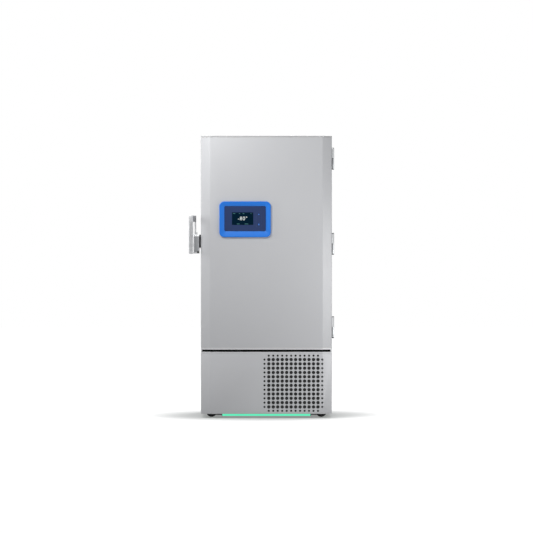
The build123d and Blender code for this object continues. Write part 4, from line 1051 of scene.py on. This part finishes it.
def makeFloor():
    clearSelection()
    bpy.ops.mesh.primitive_plane_add(size=studio["floorSize"], location=(0, 0, 0))
    floor = bpy.context.object
    floor.name = "studioFloor"
    finish = Finish("studioFloor", Base_Color=(0.4, 0.4, 0.4), Roughness=0.6, Emission_Strength=1.0,
                    Specular_IOR_Level=0.0)
    camera, glossy, through = (finish.node("ShaderNodeLightPath", output=name)
                               for name in studio["whiteRays"])
    floorPlace = finish.node("ShaderNodeTexCoord", output="Object")
    distance = finish.node("ShaderNodeVectorMath", {"operation": "LENGTH"}, {0: floorPlace}, output="Value")
    nearest, farthest = studio["shadowReach"]
    away = finish.node("ShaderNodeMapRange", {"interpolation_type": "SMOOTHSTEP"},
                       {0: distance, 1: nearest, 2: farthest})
    # the floor glows dimmer near the object: a painted contact shadow around its base
    white = finish.blend(away, studio["paintedShadowGlow"], studio["glowFar"])
    glow = finish.node("ShaderNodeMix", {"data_type": "RGBA"},
                       {0: camera + glossy + through, 6: (0, 0, 0, 1), 7: white}, output=2)
    finish.feed("Emission Color", glow)
    floor.data.materials.append(finish.material)


def makeRoom():  # white to the rays that see it, and a soft ambient light to the rest
    world = bpy.data.worlds.new("studioWorld")
    bpy.context.scene.world = world
    world.use_nodes = True
    tree = world.node_tree
    back = tree.nodes["Background"]
    back.inputs["Color"].default_value = (*studio["ambient"], 1)
    back.inputs["Strength"].default_value = 1.0
    white = tree.nodes.new("ShaderNodeBackground")
    white.inputs["Color"].default_value = (1, 1, 1, 1)
    path = tree.nodes.new("ShaderNodeLightPath")
    mix = tree.nodes.new("ShaderNodeMixShader")
    seen = path.outputs[studio["whiteRays"][0]]
    for name in studio["whiteRays"][1:]:
        either = tree.nodes.new("ShaderNodeMath")  # adds
        tree.links.new(seen, either.inputs[0])
        tree.links.new(path.outputs[name], either.inputs[1])
        seen = either.outputs[0]
    tree.links.new(seen, mix.inputs[0])
    tree.links.new(back.outputs[0], mix.inputs[1])
    tree.links.new(white.outputs[0], mix.inputs[2])
    tree.links.new(mix.outputs[0], tree.nodes["World Output"].inputs["Surface"])


lamps = {
    "keyLamp": {"place": (-1.3, -2.4, 3.2), "aim": (-0.2, -0.45, 1.8), "size": (1.8, 1.2), "power": 74},
    "sideLamp": {"place": (-2.8, -0.9, 1.8), "aim": (-0.42, -0.4, 1.3), "size": (0.8, 1.4), "power": 26},
    "backLamp": {"place": (0.8, 3.6, 4.3), "aim": (0, 0.46, 1.0), "size": (2.0, 0.8), "power": 150},
    "fillLamp": {"place": (1.5, -1.5, 0.9), "aim": (0.3, -0.45, 0.8), "size": (0.8, 1.2), "power": 16},
}


def addLamp(name, place, aim, size, power):
    clearSelection()
    bpy.ops.object.light_add(type="AREA", location=place)
    lamp = bpy.context.object
    lamp.name = name
    lamp.data.shape = "RECTANGLE"
    lamp.data.size = size[0]
    lamp.data.size_y = size[1]
    lamp.data.energy = power
    lamp.rotation_euler = (Vector(aim) - Vector(place)).to_track_quat("-Z", "Y").to_euler()


def makeCamera():
    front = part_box("door_skin")[0][1]
    clearSelection()
    bpy.ops.object.camera_add(location=(studio["aimX"], front - studio["cameraBack"], studio["aimZ"]),
                              rotation=(math.pi / 2, 0, 0))
    camera = bpy.context.object
    camera.data.lens = studio["lens"]
    camera.data.sensor_width = studio["sensor"]
    bpy.context.scene.camera = camera


makeFloor()
makeRoom()
for lampName, lampLook in lamps.items():
    addLamp(lampName, **lampLook)
makeCamera()
bpy.context.scene.view_settings.view_transform = "Standard"
print("floor, room, lamps and camera")
